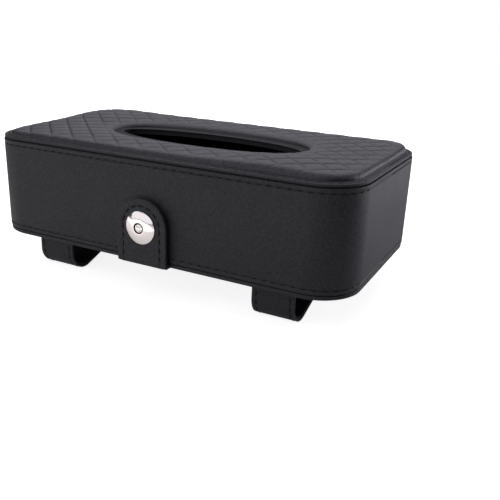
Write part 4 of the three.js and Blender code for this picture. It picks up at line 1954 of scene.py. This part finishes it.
@dataclass
class Strap:
    """A strap that is sewn under the panel and closes on itself in a loop."""

    side: str
    measures: Measures
    finishes: Finishes
    hinge_y: float = -57 * MM
    drop: float = 9.4 * MM
    bend_radius: float = 10.3 * MM
    rise: float = math.radians(20)
    back_radius: float = 12 * MM
    tail: float = 20 * MM
    tail_level: float = -3.4 * MM
    fold: float = 3.2 * MM
    fold_radius: float = 1.3 * MM
    fold_thickness: float = 1.9 * MM
    pitch: float = 5 * MM

    def line(self) -> BentLine:
        """Draws the strap's middle from under its fold to its tail.

        Returns:
            The line.
        """
        low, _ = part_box(f"strap_{self.side}")
        bottom = low.z + 1 * MM
        top = bottom + self.bend_radius + self.drop - self.fold
        line = BentLine([self.hinge_y], [top], [-QUARTER])
        line.go(top - bottom - self.bend_radius).bend(self.bend_radius, QUARTER + self.rise, 26)
        run = self.back_radius * math.tan(self.rise / 2)
        slope = (self.tail_level - line.z[-1]) / math.sin(self.rise) - run
        return line.go(slope).bend(self.back_radius, -self.rise, 10).go(self.tail)

    def build(self) -> None:
        """Makes the outer skin, the lining, the fold and the stitching."""
        node = f"strap_{self.side}"
        low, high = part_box(node)
        middle = (low.x + high.x) / 2
        outer = BentStrip(
            f"{node}_leather", self.line(), high.x - low.x, 1.05 * MM, -0.05 * MM, side=-1,
            middle=middle)
        finish_piece(outer.build(), self.finishes.leather, node, [node])
        Stitching(self.finishes.thread).sew(f"{node}_stitches", outer.seats(self.pitch), node)
        lining = f"strap_lining_{self.side}"
        inner = BentStrip(
            f"{lining}_ply", self.line(), high.x - low.x - 1 * MM, 0.85 * MM, 0.1 * MM,
            groove_depth=0.1 * MM, middle=middle)
        finish_piece(inner.build(), self.finishes.lining, node, [lining])
        self.sewn_end(middle, high.x - low.x)

    def sewn_end(self, middle: float, width: float) -> None:
        """Makes the strap's sewn end and the fold that it hangs by.

        Args:
            middle: The strap's middle in X.
            width: Its width.
        """
        node = f"strap_sewn_end_{self.side}"
        low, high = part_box(node)
        foot = self.line().z[0]
        level = (low.z + high.z) / 2
        line = BentLine([high.y], [level], [2 * QUARTER])
        line.go(high.y - self.hinge_y - self.fold_radius).bend(self.fold_radius, QUARTER, 10)
        line.go(line.z[-1] - foot)
        strip = BentStrip(
            f"strap_fold_{self.side}", line, width, self.fold_thickness, -self.fold_thickness / 2,
            side=-1, middle=middle)
        piece = strip.build()
        finish_piece(piece, self.finishes.leather, None, [node])
        self.hinge_y + 1 * MM
        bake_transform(piece)


# Carried-over pieces, studio and camera


def dress_hidden(finishes: Finishes) -> None:
    """Gives every CAD node that stays its own material.

    Args:
        finishes: The holder's finishes.
    """
    kinds = {
        "board": finishes.board, "foam": finishes.foam, "lining": finishes.lining,
        "socket_magnet": finishes.magnet, "socket_case": finishes.nickel,
        "snap_stud": finishes.nickel, "socket": finishes.steel, "hook": finishes.pile,
        "patch": finishes.pile, "core": finishes.board,
    }
    for name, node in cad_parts.items():
        coat = next((kind for word, kind in kinds.items() if word in name), finishes.leather)
        node.data.materials.clear()
        node.data.materials.append(coat.material)


@dataclass(frozen=True)
class Softbox:
    """A lamp that faces the holder, by its bearing from the box's right and its rise, in degrees."""

    name: str
    bearing: float
    rise: float
    distance: float
    width: float
    height: float
    power: float

    def hang(self, tint: Colour) -> None:
        """Hangs the lamp.

        Args:
            tint: The colour of its light.
        """
        bearing = math.radians(self.bearing)
        rise = math.radians(self.rise)
        place = self.distance * Vector((
            math.cos(bearing) * math.cos(rise), math.sin(bearing) * math.cos(rise), math.sin(rise)))
        data = bpy.data.lights.new(self.name, "AREA")
        data.shape = "RECTANGLE"
        data.size = self.width
        data.size_y = self.height
        data.energy = self.power
        data.color = tint
        lamp = bpy.data.objects.new(self.name, data)
        lamp.location = place
        lamp.rotation_euler = (-place).to_track_quat("-Z", "Y").to_euler()
        bpy.context.scene.collection.objects.link(lamp)


@dataclass
class Studio:
    """The floor, the lamps and the camera of the photograph."""

    floor_z: float
    yaw: float = math.radians(25.98)
    pitch: float = math.radians(19.54)
    roll: float = math.radians(2.55)
    target: tuple[float, float, float] = (33.21 * MM, 0, -5.77 * MM)
    distance: float = 411.85 * MM
    lens: float = 45.87
    ambient: Colour = (0.02, 0.02, 0.021)
    mirrored: Colour = (0.06, 0.06, 0.063)
    tint: Colour = (0.98, 0.96, 1.06)
    # Distance in front of the holder past which the floor's painted reflection glows fully.
    painted_glow_from: float = 185 * MM

    SOFTBOXES = (
        Softbox("back_softbox", bearing=115, rise=38, distance=1.35, width=1.5, height=0.6, power=3.3),
        Softbox("top_softbox", bearing=110, rise=62, distance=1.3, width=1.2, height=0.6, power=3.6),
        Softbox("overhead_softbox", bearing=-90, rise=80, distance=1.3, width=1.6, height=0.8, power=4),
        Softbox("low_softbox", bearing=115, rise=16, distance=1.35, width=1.5, height=0.5, power=1),
        Softbox("end_softbox", bearing=51, rise=9, distance=1.3, width=0.6, height=0.6, power=5.6),
        Softbox("front_softbox", bearing=-112, rise=17, distance=1.8, width=3, height=0.9, power=8),
        Softbox("high_softbox", bearing=-100, rise=44, distance=1.5, width=0.9, height=0.5, power=2.2),
    )

    def build(self) -> None:
        """Sets the scene up."""
        self.floor()
        self.backdrop()
        for softbox in self.SOFTBOXES:
            softbox.hang(self.tint)
        self.camera()
        bpy.context.scene.view_settings.view_transform = "Standard"

    def camera(self) -> None:
        """Places the camera at the photograph's angle."""
        forward = Vector((
            -math.sin(self.yaw) * math.cos(self.pitch),
            math.cos(self.yaw) * math.cos(self.pitch),
            -math.sin(self.pitch)))
        right = forward.cross(Vector((0, 0, 1))).normalized()
        up = right.cross(forward)
        across = right * math.cos(self.roll) + up * math.sin(self.roll)
        upright = up * math.cos(self.roll) - right * math.sin(self.roll)
        data = bpy.data.cameras.new("camera")
        data.lens = self.lens
        data.sensor_width = 36
        data.clip_start = 10 * MM
        camera = bpy.data.objects.new("camera", data)
        place = Vector(self.target) - forward * self.distance
        camera.matrix_world = Matrix.Translation(place) @ Matrix(
            (across, upright, -forward)).transposed().to_4x4()
        bpy.context.scene.collection.objects.link(camera)
        bpy.context.scene.camera = camera

    def floor(self) -> None:
        """Lays a floor that the camera sees white, with the holder's shadow on it.

        What shines in the leather and the snap is a painted reflection: for mirrored rays the floor
        glows, brightly only in front of the holder and beyond its shadow.
        """
        piece = begin(
            "floor", bpy.ops.mesh.primitive_plane_add, size=60, location=(0, 0, self.floor_z))
        graph = Graph("pale_floor", 0.9, Emission_Strength=1)
        seen = graph.node("ShaderNodeLightPath", {}, {}, "Is Camera Ray")
        mirrored = graph.node("ShaderNodeLightPath", {}, {}, "Is Glossy Ray")
        graph.link("Base Color", graph.lay(
            (seen + mirrored).clamp(), (0.22, 0.20, 0.20), (0.92, 0.91, 0.91)))
        here = graph.node("ShaderNodeTexCoord", {}, {}, "Object")
        far = graph.node("ShaderNodeVectorMath", {"operation": "LENGTH"}, {0: here}, "Value")
        x, y = (graph.node("ShaderNodeSeparateXYZ", {}, {0: here}, axis) for axis in "XY")
        ahead = ((0.12 - x) * 10).clamp() * (y * -10).clamp()
        # Painted reflection: past this distance in front of the holder the floor glows fully for
        # mirrored rays; nearer it glows less, as if in the holder's shadow.
        far_painted_glow = ((y * -1 - self.painted_glow_from) * 80).clamp()
        glow = seen * ((far - 0.5) * 0.2 + 0.93).clamp()
        glow += mirrored * (ahead * (far_painted_glow * 0.75 + 0.25) + 0.1)
        graph.link("Emission Color", graph.lay(glow.clamp(), (0, 0, 0), (1, 1, 1)))
        below = graph.node("ShaderNodeNewGeometry", {}, {}, "Backfacing")
        graph.link("Alpha", 1 - below)
        piece.data.materials.append(graph.material)
        piece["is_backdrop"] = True

    def backdrop(self) -> None:
        """Shows the camera a white background and lights the holder dimly from all round."""
        world = bpy.data.worlds.new("studio")
        bpy.context.scene.world = world
        world.use_nodes = True
        tree = world.node_tree
        background = tree.nodes["Background"]
        path = tree.nodes.new("ShaderNodeLightPath")
        colour: Sequence[float] | bpy.types.NodeSocket = self.ambient
        for kind, over in (("Is Glossy Ray", self.mirrored), ("Is Camera Ray", (1, 1, 1))):
            mixed = tree.nodes.new("ShaderNodeMix")
            mixed.data_type = "RGBA"
            if isinstance(colour, bpy.types.NodeSocket):
                tree.links.new(colour, mixed.inputs[6])
            else:
                mixed.inputs[6].default_value = (*colour, 1)
            mixed.inputs[7].default_value = (*over, 1)
            tree.links.new(path.outputs[kind], mixed.inputs[0])
            colour = mixed.outputs[2]
        tree.links.new(colour, background.inputs["Color"])


def main() -> None:
    """Builds the holder's looks in order and reports each piece."""
    measures = Measures.from_frame()
    finishes = Finishes.build()
    dress_hidden(finishes)
    QuiltedTop(measures, finishes).build()
    SlotCollar(measures, finishes).build()
    Binding(measures, finishes).build()
    Wall(measures, finishes).build()
    BottomPanel(measures, finishes).build()
    Tongue(measures, finishes).build()
    for side in ("left", "right"):
        Strap(side, measures, finishes).build()
    Studio(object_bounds()[0][2] - 0.1 * MM).build()


if __name__ == "__main__":
    main()
